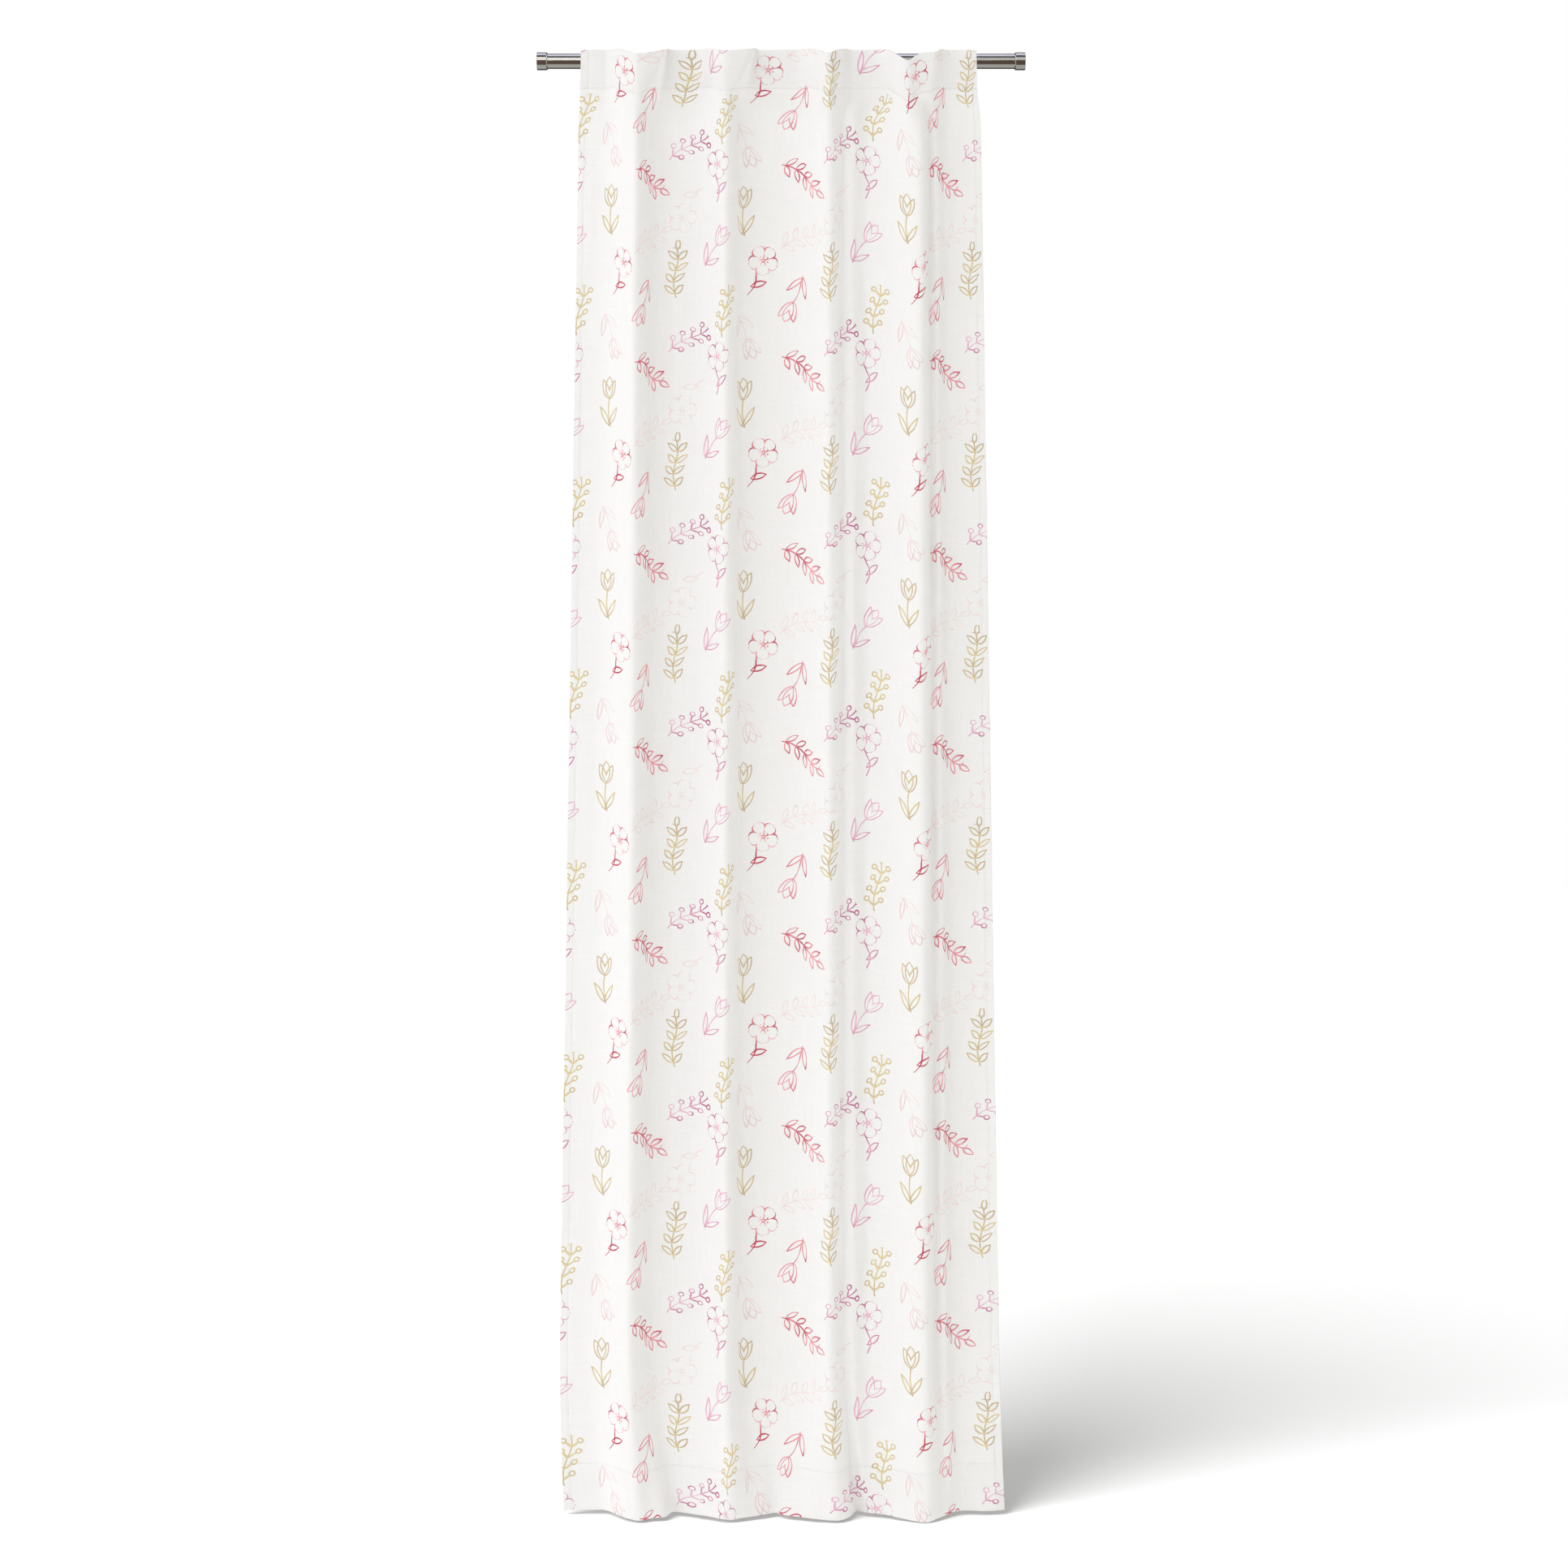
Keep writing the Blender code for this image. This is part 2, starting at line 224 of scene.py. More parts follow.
def arc_of_cards(name, start, end, colour, left, right):
    """Make one band of the sleeve, between two angles above the viewer's direction."""
    places = []
    for angle in np.radians(np.linspace(start, end, CARD_STEPS + 1)):
        y, z = -CARD_DISTANCE * math.cos(angle), CARD_DISTANCE * math.sin(angle)
        places += [(-CARD_HALF_LENGTH, y, z), (CARD_HALF_LENGTH, y, z)]
    faces = [(2 * i, 2 * i + 1, 2 * i + 3, 2 * i + 2) for i in range(CARD_STEPS)]
    mesh = bpy.data.meshes.new(name)
    mesh.from_pydata(places, [], faces)
    card_paint, tree = new_material(name)
    x, _, _ = add(tree, "SeparateXYZ", add(tree, "TexCoord").outputs["Object"]).outputs
    level = add(tree, "MapRange", x, -LEVEL_REACH, LEVEL_REACH, left, right)
    add(tree, "OutputMaterial", add(tree, "Emission", linear(colour), level))
    mesh.materials.append(card_paint)
    card = show(name, mesh)
    for kind in ("camera", "diffuse", "transmission", "volume_scatter", "shadow"):
        setattr(card, "visible_" + kind, False)


band_start = CARD_BANDS[-1][0] - 360
for number, (band_end, *paint) in enumerate(CARD_BANDS, start=1):
    arc_of_cards(f"card_{number}", band_start, band_end, *paint)
    band_start = band_end
print(len(CARD_BANDS), "reflection cards")

# %% [markdown]
# The panel. A curtain's folds are set at the top, where five tabs hold the cloth flat against
# the rod and the fullness stands forward between them. They soften and wander on the way
# down. So the cloth is a loft of three fold sections: at the header, at the middle and at the
# hem. Each pair is the place across and the place forward, in percent. The three have the
# same stations, and a station follows one thread down the cloth. The header keeps its shape
# down to its stitch line. Just below it the folds take the shape that they keep nearly to
# the floor, and only the last stretch spreads out.

# %% The fold sections
HEADER_SECTION = (
    (-100.9, 1), (-92.5, 0), (-88, 1.5), (-83.5, 22), (-78.5, 70), (-71.5, 100), (-65.8, 64), (-60, 52),
    (-55.8, 2), (-47, 0), (-41, 2), (-37.5, 28), (-33.5, 76), (-27.5, 100), (-22.5, 64), (-17, 54),
    (-11.5, 2), (-1, 0), (8, 2), (13, 26), (18.6, 74), (24, 100), (27.6, 68), (31, 48),
    (34.7, 4), (39.5, 0), (47, 2), (52, 26), (57, 74), (63.5, 106), (69.5, 74), (75, 62),
    (79.5, 14), (83, 1), (86, 0), (90, 0), (95, 1), (98.4, 2),
)
MIDDLE_SECTION = (
    (-101.5, 2), (-94.5, 6), (-87.5, 14), (-81.5, 34), (-76.5, 66), (-70.2, 99), (-65.2, 68), (-62, 24),
    (-57.5, 15), (-51, 27), (-46.5, 27), (-39.5, 34), (-34, 56), (-27, 99), (-22.8, 80), (-19.2, 25),
    (-13, 17), (-3.5, 20.5), (5, 27), (11, 43), (16, 72), (22.3, 100), (26.3, 86), (28.2, 65),
    (29.6, 55), (34, 64), (40, 38), (45, 46), (53.5, 66), (65.7, 102), (70, 82), (72, 44),
    (75.7, 55), (80, 12), (85, 1), (89.5, 0), (95, 3), (99.9, 8),
)
HEM_SECTION = (
    (-98.5, 6), (-90, 0), (-80.5, 3), (-74.5, 50), (-69, 86), (-63.5, 98), (-57.5, 84), (-52, 74),
    (-49.3, 27), (-44.5, 34), (-37.5, 58), (-32, 78), (-27, 94), (-22.3, 98), (-17.5, 84), (-12, 68),
    (-6, 47), (-2.2, 34), (1, 60), (8, 80), (15, 92), (25.2, 99), (30.3, 78), (32.6, 44),
    (34, 14), (38, 32), (42, 42), (48, 60), (55, 82), (65, 100), (70, 82), (74.5, 46),
    (78, 26), (81.5, 12), (86, 12), (91, 15), (96.5, 12), (101.5, 0),
)
TAB_STATIONS = (1, 9, 17, 25, 35)

DROP = 2.4375
TOP_WIDTH = 0.663
HEM_WIDTH = 0.736
HEADER_HEIGHT = 0.065
HEM_HEIGHT = 0.080
SIDE_HEM_WIDTH = 0.013
SETTLE_HEIGHT = 0.058
SPREAD_HEIGHT = 0.3375
HEADER_FOLD = 0.050
HEADER_LEAN = 0.20
MIDDLE_FOLD = 0.058
HEM_FOLD = 0.060
BULGE_DROOP = (0.018, 0.013, 0.0165, 0.0265)
DROOP_LEFT_AT_HEM = 0.22
CLOTH_THICKNESS = 0.001

panel_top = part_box("curtain_panel")[1].z
panel_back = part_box("curtain_panel")[1].y
panel_front = panel_back - 2 * CLOTH_THICKNESS
print("panel hangs from z", round(panel_top, 4), "with its flats at y", round(panel_front, 4))


# %% Read a section, and place the cloth between the three
def along_section(section, stations):
    """Read a fold section at fractional stations, on a smooth curve through its points."""
    points = np.array(section, dtype=float) / 100
    before = 2 * points[0] - points[1]
    after = 2 * points[-1] - points[-2]
    padded = np.vstack([before, points, after])
    index = np.clip(stations.astype(int), 0, len(points) - 2)
    s = (stations - index)[:, None]
    p0, p1, p2, p3 = (padded[index + k] for k in range(4))
    bend = 2 * p0 - 5 * p1 + 4 * p2 - p3
    twist = 3 * (p1 - p2) + p3 - p0
    curve = p1 + 0.5 * ((p2 - p0) * s + bend * s**2 + twist * s**3)
    return curve[:, 0], np.maximum(curve[:, 1], 0.0)


def smooth_step(low, high, value):
    """0 below low, 1 above high, and a smooth rise between."""
    t = np.clip((value - low) / (high - low), 0, 1)
    return t * t * (3 - 2 * t)


# The right flank of each header fold stands steeper at the top edge than at the stitch line:
# it is pulled this share of the way to its foot, which draws the slanting creases there. The
# pull sets in between these two shares of the way from one tab to the next.
FLANK_PULL = (0.74, 0.79, 0.15, 0.30)
FLANK_STARTS = 0.5
FLANK_FULL = 0.62


def cloth_surface(downs, stations):
    """Places of the cloth's front for rows of distances down and columns of stations."""
    down = downs[:, None]
    x_top, f_top = along_section(HEADER_SECTION, stations)
    x_mid, f_mid = along_section(MIDDLE_SECTION, stations)
    x_hem, f_hem = along_section(HEM_SECTION, stations)
    to_middle = smooth_step(HEADER_HEIGHT, HEADER_HEIGHT + SETTLE_HEIGHT, down)
    to_hem = np.clip(1 - (DROP - down) / SPREAD_HEIGHT, 0, 1) ** 2
    lean = 1 - HEADER_LEAN * np.clip(down / HEADER_HEIGHT, 0, 1)
    top_forward = HEADER_FOLD * f_top * lean
    forward = top_forward + to_middle * (MIDDLE_FOLD * f_mid - top_forward)
    forward = forward + to_hem * (HEM_FOLD * f_hem - MIDDLE_FOLD * f_mid)
    top_half = TOP_WIDTH / 2
    hem_half = HEM_WIDTH / 2
    middle_half = (top_half + hem_half) / 2
    half_width = top_half + (hem_half - top_half) * down / DROP
    x = x_top * top_half + to_middle * (x_mid * middle_half - x_top * top_half)
    x = x + to_hem * (x_hem * hem_half - x_mid * middle_half)
    own_half = top_half + to_middle * (middle_half - top_half) + to_hem * (hem_half - middle_half)
    x = x + x_mid**3 * (half_width - own_half)

    span = np.clip(np.searchsorted(TAB_STATIONS, stations) - 1, 0, len(BULGE_DROOP) - 1)
    droop = np.array(BULGE_DROOP)[span] * f_top**2 * (1 - (1 - DROOP_LEFT_AT_HEM) * down / DROP)
    start = np.array(TAB_STATIONS)[span]
    end = np.array(TAB_STATIONS)[span + 1]
    part_way = (stations - start) / (end - start)
    foot, _ = along_section(HEADER_SECTION, end - 1.0)
    pull = np.array(FLANK_PULL)[span] * smooth_step(FLANK_STARTS, FLANK_FULL, part_way)
    pull = pull * (stations < end) * np.clip(1 - down / HEADER_HEIGHT, 0, 1)
    x = x + np.maximum(foot * top_half - x, 0) * pull
    return np.stack([x, panel_front - forward, panel_top - down - droop], axis=-1)


# %% [markdown]
# Where the mesh is fine. The stitch lines pull a narrow groove into the cloth, so rows and
# columns crowd there, and spread out on the plain cloth between. The columns are spaced by
# the real length of cloth along the middle section, which also gives the flat width.

# %% Rows and columns of the cloth
SEAM_INSET = 0.0015
BESIDE_SEAM = (0.001, 0.0022, 0.0045, 0.008, 0.013, 0.020)
EDGE_SPACE = 0.001
LEAST_SPACE = 0.0006
ROW_PITCH = 0.019
COLUMN_PITCH = 0.0042
FINE_STATIONS = 4000


def crowded(total, seams, pitch):
    """Spaces from 0 to total, fine at both ends and round each seam, and even between."""
    fixed = {0.0, EDGE_SPACE, 3 * EDGE_SPACE, total - 3 * EDGE_SPACE, total - EDGE_SPACE, total}
    for seam in seams:
        near = [seam + side * step for step in (0, *BESIDE_SEAM) for side in (-1, 1)]
        fixed |= {round(place, 5) for place in near if 0 < place < total}
    kept = [0.0]
    for value in sorted(fixed)[1:]:
        if value - kept[-1] > LEAST_SPACE or value in seams:
            kept.append(value)
    spaces = [0.0]
    for low, high in zip(kept, kept[1:]):
        count = max(1, math.ceil((high - low) / pitch))
        spaces += list(np.linspace(low, high, count + 1)[1:])
    return np.array(spaces)


def distance_along(line):
    """How far each point of a line lies from its start, measured along it."""
    steps = np.linalg.norm(np.diff(line, axis=0), axis=1)
    return np.concatenate([[0], np.cumsum(steps)])


fine_stations = np.linspace(0, len(MIDDLE_SECTION) - 1, FINE_STATIONS)
length_along = distance_along(cloth_surface(np.array([DROP / 2]), fine_stations)[0])
flat_width = float(length_along[-1])
header_seam = HEADER_HEIGHT - SEAM_INSET
hem_seam = DROP - HEM_HEIGHT + SEAM_INSET
left_seam = SIDE_HEM_WIDTH - SEAM_INSET
right_seam = flat_width - left_seam
rows = crowded(DROP, [header_seam, hem_seam], ROW_PITCH)
columns = crowded(flat_width, [left_seam, right_seam], COLUMN_PITCH)
stations = np.interp(columns, length_along, fine_stations)
print("flat width", round(flat_width, 3), "m;", len(rows), "rows and", len(columns), "columns")

# %% [markdown]
# Fine shape. Real cloth is never as even as a loft: long shallow ripples run down it, each
# stitch line sits in a groove, and the cloth beside a stitch line puckers because the thread
# is a little shorter than the cloth. Sums of a few waves of unlike lengths give this the same
# way every time.

# %% Ripples, grooves and puckers
# Each set of ripples has a height, and a length across and down
RIPPLES = ((0.0009, 0.085, 0.75), (0.00036, 0.034, 0.30))
GROOVE_DEPTH = 0.0011
GROOVE_WIDTH = 0.0014
# How deep the grooves of the hems are, as a share of the header's
FAINT_GROOVE = 0.45
# The cloth swells a little on both sides of a groove
SWELL_SHARE = 0.35
SWELL_AWAY = 0.004
SWELL_WIDTH = 0.003
PUCKER_HEIGHT = 0.00045
PUCKER_REACH = 0.011
PUCKER_LENGTH = 0.013
PUCKER_LEAN = 0.05
WAVE_SHARES = (0.45, 0.3, 0.25)
WAVE_SPREAD = 0.618


def waves(u, v, length_u, length_v, seed):
    """An uneven wave between about -1 and 1. The bare numbers keep its parts out of step."""
    total = 0
    for k, share in enumerate(WAVE_SHARES, start=1):
        pace = 1 + WAVE_SPREAD * (k - 1)
        lean = 0.9 * math.sin(seed * 1.7 + k * 2.3)
        phase = seed * 2.1 + k * 4.7
        sway = 1.3 * np.sin(math.tau * v / length_v * pace + 1.9 * phase)
        total = total + share * np.sin(
            math.tau * (u / length_u * pace + lean * v / length_v) + phase + sway
        )
    return total


u, v = np.meshgrid(columns, rows)
relief = np.zeros_like(u)
for seed, (height, across, down) in enumerate(RIPPLES, start=1):
    relief += height * waves(u, v, across, down, seed)
# The header hangs on its seam, which cuts in deeper than the others
seams = (
    (v - header_seam, u, 1.0), (v - hem_seam, u, FAINT_GROOVE),
    (u - left_seam, v, FAINT_GROOVE), (u - right_seam, v, FAINT_GROOVE),
)
for seed, (distance, along, share) in enumerate(seams, start=len(RIPPLES) + 1):
    away = np.abs(distance)
    groove = share * GROOVE_DEPTH
    pucker = waves(along, distance, PUCKER_LENGTH, PUCKER_LEAN, seed)
    relief -= groove * np.exp(-((away / GROOVE_WIDTH) ** 2))
    relief += SWELL_SHARE * groove * np.exp(-(((away - SWELL_AWAY) / SWELL_WIDTH) ** 2))
    relief += PUCKER_HEIGHT * np.exp(-away / PUCKER_REACH) * pucker

cloth = cloth_surface(rows, stations)
outward = np.cross(np.gradient(cloth, axis=0), np.gradient(cloth, axis=1))
outward /= np.linalg.norm(outward, axis=-1, keepdims=True)
cloth = cloth + outward * relief[..., None]
print("relief from", round(relief.min() * 1000, 2), "to", round(relief.max() * 1000, 2), "mm")

# %% [markdown]
# The mesh: one sheet of faces over the grid, with each point's place on the flat cloth kept
# as a UV map in metres, so that the print and the weave follow the threads. Solidify gives
# it thickness on the back, twice as much in the hems, where the cloth is turned over.

# %% Build the panel
def cloth_grid(name, places, flat_places):
    """Make a mesh object of a grid of places, with a UV map of flat places in metres."""
    height, width = places.shape[:2]
    index = np.arange(height * width).reshape(height, width)
    faces = np.stack([index[:-1, :-1], index[1:, :-1], index[1:, 1:], index[:-1, 1:]], axis=-1)
    mesh = bpy.data.meshes.new(name)
    mesh.from_pydata(places.reshape(-1, 3).tolist(), [], faces.reshape(-1, 4).tolist())
    corners = np.zeros(len(mesh.loops), dtype=np.int32)
    mesh.loops.foreach_get("vertex_index", corners)
    flat_map = mesh.uv_layers.new(name="cloth")
    flat_map.data.foreach_set("uv", flat_places.reshape(-1, 2)[corners].astype(np.float32).ravel())
    mesh.shade_smooth()
    return show(name, mesh)


panel = cloth_grid("panel", cloth, np.stack([u, v], axis=-1))
in_hem = (v <= HEADER_HEIGHT) | (v >= DROP - HEM_HEIGHT)
in_hem |= (u <= SIDE_HEM_WIDTH) | (u >= flat_width - SIDE_HEM_WIDTH)
hems = panel.vertex_groups.new(name="hems")
hems.add(np.flatnonzero(in_hem.ravel()).tolist(), 1.0, "REPLACE")
thicken = panel.modifiers.new("cloth", "SOLIDIFY")
thicken.thickness = 2 * CLOTH_THICKNESS
thicken.offset = -1
thicken.vertex_group = hems.name
thicken.thickness_vertex_group = 0.5
thicken.material_offset = 1
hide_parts("curtain_panel")
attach(panel, "root")
print("panel:", 4 * len(panel.data.polygons), "triangles with its back")

# %% [markdown]
# The print. Loose line drawings of garden flowers are scattered over the white cloth, as if
# brushed in watercolour: rose, orchid and a very pale blush, and gold ones drawn with a
# double line. A shader can draw a line by asking how far each point of the cloth lies from
# it, so each motif below is a distance in millimetres, and the brush's half width is compared
# with it. That needs no image, and it stays sharp at any size. All sizes here are in
# millimetres and all turns in degrees.

# %% Outlines as distances
def apart(tree, first, second):
    """How far two values lie apart."""
    return add(tree, "Math", add(tree, "Math", first, second, operation="SUBTRACT"),
               operation="ABSOLUTE")


def outside(tree, value, low, high):
    """How far a value lies outside a range. It is negative inside."""
    from_middle = apart(tree, value, (low + high) / 2)
    return add(tree, "Math", from_middle, (high - low) / 2, operation="SUBTRACT")


def leaf_line(tree, place, turn, length, breadth, start=0, roundness=1, belly=0):
    """Distance from the outline of a leaf or petal that grows from the origin.

    turn is its direction, start its distance from the origin, roundness 0.5 for round ends
    and 1 for pointed ones, and belly moves its widest part outwards.
    """
    turned = add(tree, "VectorRotate", place, rotation_type="Z_AXIS",
                 sockets={"Angle": -math.radians(turn)})
    x, y, _ = add(tree, "SeparateXYZ", turned).outputs
    along = add(tree, "Math", x, 2 / length, -2 * start / length - 1, operation="MULTIPLY_ADD")
    inside = add(tree, "Math", 1.0, add(tree, "Math", along, along, operation="MULTIPLY"),
                 operation="SUBTRACT")
    inside = add(tree, "Math", inside, 0.0, operation="MAXIMUM")
    arch = add(tree, "Math", inside, roundness, operation="POWER")
    lopsided = add(tree, "Math", along, belly * breadth / 2, breadth / 2, operation="MULTIPLY_ADD")
    arch = add(tree, "Math", arch, lopsided, operation="MULTIPLY")
    gap = apart(tree, add(tree, "Math", y, operation="ABSOLUTE"), arch)
    beyond = add(tree, "Math", add(tree, "Math", along, operation="ABSOLUTE"), length / 2, -length / 2,
                 operation="MULTIPLY_ADD")
    return add(tree, "Math", gap, beyond, operation="MAXIMUM")


def from_stem(tree, x, y, sway, sway_length):
    """Distance across from an upright line that sways."""
    bend = add(tree, "Math", add(tree, "Math", y, math.tau / sway_length, operation="MULTIPLY"),
               operation="SINE")
    return add(tree, "Math", add(tree, "Math", bend, -sway, x, operation="MULTIPLY_ADD"),
               operation="ABSOLUTE")


def stem_line(tree, x, y, sway, sway_length, low, high):
    """Distance from a swaying upright line between two heights."""
    gap = from_stem(tree, x, y, sway, sway_length)
    return add(tree, "Math", gap, outside(tree, y, low, high), operation="MAXIMUM")


def nearest(tree, *lines):
    """The least of several distances."""
    least = lines[0]
    for line in lines[1:]:
        least = add(tree, "Math", least, line, operation="MINIMUM")
    return least


# %% Four motifs
def fold_round(tree, radius, angle, count):
    """Fold the plane so that one shape on the X axis shows count times round the origin."""
    folded = add(tree, "Math", angle, math.pi / count, operation="PINGPONG")
    x = add(tree, "Math", add(tree, "Math", folded, operation="COSINE"), radius, operation="MULTIPLY")
    y = add(tree, "Math", add(tree, "Math", folded, operation="SINE"), radius, operation="MULTIPLY")
    return add(tree, "CombineXYZ", x, y)


def fold_along(tree, x, y, sway, sway_length, low, pitch):
    """Fold the plane so that one shape beside a swaying stem shows in pairs all along it."""
    above = add(tree, "Math", add(tree, "Math", y, low + pitch, low, operation="WRAP"), low,
                operation="SUBTRACT")
    return add(tree, "CombineXYZ", from_stem(tree, x, y, sway, sway_length), above)


def blossom(tree, place, x, y):
    """A five-petalled flower with its stamens, on a swaying stem with one leaf."""
    place = add(tree, "VectorMath", place, (0.0, -20.0, 0.0), operation="ADD")
    x, y, _ = add(tree, "SeparateXYZ", place).outputs
    radius = add(tree, "VectorMath", place, operation="LENGTH").outputs["Value"]
    angle = add(tree, "Math", y, x, operation="ARCTAN2")
    petals = leaf_line(tree, fold_round(tree, radius, angle, count=5), turn=0, length=21,
                       breadth=20, start=3.5, roundness=0.5, belly=0.35)
    dots = add(tree, "VectorMath", fold_round(tree, radius, angle, count=7), (8.0, 0.0, 0.0),
               operation="DISTANCE")
    eye = apart(tree, radius, 2.4)
    stem = stem_line(tree, x, y, sway=4, sway_length=58, low=-62, high=-21)
    joint = add(tree, "VectorMath", place, (-1.5, -48.0, 0.0), operation="SUBTRACT")
    leaf = leaf_line(tree, joint, turn=38, length=26, breadth=9, belly=0.1)
    return nearest(tree, petals, dots.outputs["Value"], eye, stem, leaf)


def tulip(tree, place, x, y):
    """A tulip bud of three petals, with a pair of long leaves at its foot."""
    half = add(tree, "CombineXYZ", add(tree, "Math", x, operation="ABSOLUTE"), y)
    middle = leaf_line(tree, place, turn=90, length=33, breadth=15, start=2, roundness=0.8, belly=0.1)
    outer = leaf_line(tree, half, turn=66, length=33, breadth=12, roundness=0.8, belly=-0.2)
    stem = stem_line(tree, x, y, sway=2.5, sway_length=66, low=-46, high=1)
    foot = add(tree, "VectorMath", half, (0.0, -44.0, 0.0), operation="SUBTRACT")
    leaves = leaf_line(tree, foot, turn=58, length=35, breadth=8, belly=-0.1)
    return nearest(tree, middle, outer, stem, leaves)


def sprig(tree, place, x, y):
    """A stem with pairs of pointed leaves and one at its tip."""
    spot = fold_along(tree, x, y, sway=4, sway_length=92, low=-40, pitch=19)
    pairs = leaf_line(tree, spot, turn=40, length=21, breadth=8, start=0.5)
    pairs = add(tree, "Math", pairs, outside(tree, y, -40, 36), operation="MAXIMUM")
    stem = stem_line(tree, x, y, sway=4, sway_length=92, low=-46, high=34)
    top = add(tree, "VectorMath", place, (3.0, 32.0, 0.0), operation="SUBTRACT")
    tip = leaf_line(tree, top, turn=84, length=20, breadth=8)
    return nearest(tree, pairs, stem, tip)


def berries(tree, place, x, y):
    """A stem with pairs of round berries on short stalks."""
    spot = fold_along(tree, x, y, sway=7, sway_length=120, low=-36, pitch=18)
    from_middle = add(tree, "VectorMath", spot, (12.0, 11.0, 0.0), operation="DISTANCE")
    berry = apart(tree, from_middle.outputs["Value"], 3.8)
    stalk = leaf_line(tree, spot, turn=42, length=11.5, breadth=1)
    pairs = nearest(tree, berry, stalk)
    pairs = add(tree, "Math", pairs, outside(tree, y, -36, 36), operation="MAXIMUM")
    stem = stem_line(tree, x, y, sway=7, sway_length=120, low=-44, high=36)
    return nearest(tree, pairs, stem)


def new_group(name, *sockets):
    """Return an empty shader group with these sockets: name, direction and type of each."""
    group = bpy.data.node_groups.new(name, "ShaderNodeTree")
    for socket, way, kind in sockets:
        group.interface.new_socket(socket, in_out=way, socket_type="NodeSocket" + kind)
    return group, add(group, "NodeGroupInput").outputs


motif_tree, given = new_group("garden_motif", ("Place", "INPUT", "Vector"),
                              ("Kind", "INPUT", "Float"), ("Distance", "OUTPUT", "Float"))
x, y, _ = add(motif_tree, "SeparateXYZ", given["Place"]).outputs
chosen = blossom(motif_tree, given["Place"], x, y)
for kind, motif in enumerate((tulip, sprig, berries), start=1):
    drawn = motif(motif_tree, given["Place"], x, y)
    is_later = add(motif_tree, "Math", given["Kind"], kind - 0.5, operation="GREATER_THAN")
    chosen = add(motif_tree, "Mix", sockets={0: is_later, 2: chosen, 3: drawn})
add(motif_tree, "NodeGroupOutput", chosen)
print("motif group:", len(motif_tree.nodes), "nodes")

# %% [markdown]
# The layout. The print repeats every 320 mm. Two grids of cells, the second half a cell
# across and down from the first, take one motif in each cell: twelve to a repeat. A table
# gives each its kind, turn, shift and colour. In the shader the table is a colour ramp with
# hard steps, which holds numbers from 0 to 1: so kinds and line widths are divided by 10,
# turns by 360, and shifts by 100 from a half.

# %% Layout of the print
CELL = (160.0, 320.0 / 3)
CELLS_ACROSS = 2
CELLS_DOWN = 3
# Deep and pale tone, 1 for a double line, and the line's half width
PAINTS = {
    "rose": ("#C6405A", "#EEA0AB", 0, 1.35),
    "orchid": ("#BC5A8E", "#E9B0CB", 0, 1.2),
    "gold": ("#A88010", "#CCAE42", 1, 1.0),
    "blush": ("#EBCFD1", "#F4E5E5", 0, 1.1),
}
# Kind of motif, turn, shift across and down, and paint, cell by cell
PLACES = (
    (0, 24, 12, 2, "rose"), (2, -48, -12, 4, "gold"), (1, 158, -8, -4, "blush"),
    (3, 52, 14, -2, "orchid"), (1, -28, -14, 3, "gold"), (0, 214, 10, 0, "blush"),
    (1, 38, -12, -3, "orchid"), (2, 66, 12, 5, "blush"), (3, -60, 8, -4, "gold"),
    (1, 205, -10, 3, "rose"), (0, -42, -10, 4, "orchid"), (2, 118, 12, -2, "rose"),
)
TENS = 10
SHIFTS = 100
EDGE_SOFTNESS = 0.30
WOBBLE = 4.5
WOBBLE_LENGTH = 34.0
TONE_LENGTH = 42.0
BRUSH_LENGTH = 26.25
THINNEST_LINE = 0.42
# The pale middle of a double line: how far it reaches from full to none, and its strength
HOLLOW_REACH = (0.20, 0.70)
HOLLOW_SHARE = 0.60
HOLLOW_COLOUR = "#FAF3DC"


def stepped_table(tree, position, entries):
    """Look up one of several sets of four numbers, by a position from 0 to 1."""
    table = add(tree, "ValToRGB", position)
    ramp = table.color_ramp
    ramp.interpolation = "CONSTANT"
    while len(ramp.elements) < len(entries):
        ramp.elements.new(1.0)
    for k, values in enumerate(entries):
        ramp.elements[k].position = k / len(entries)
        ramp.elements[k].color = values
    return table


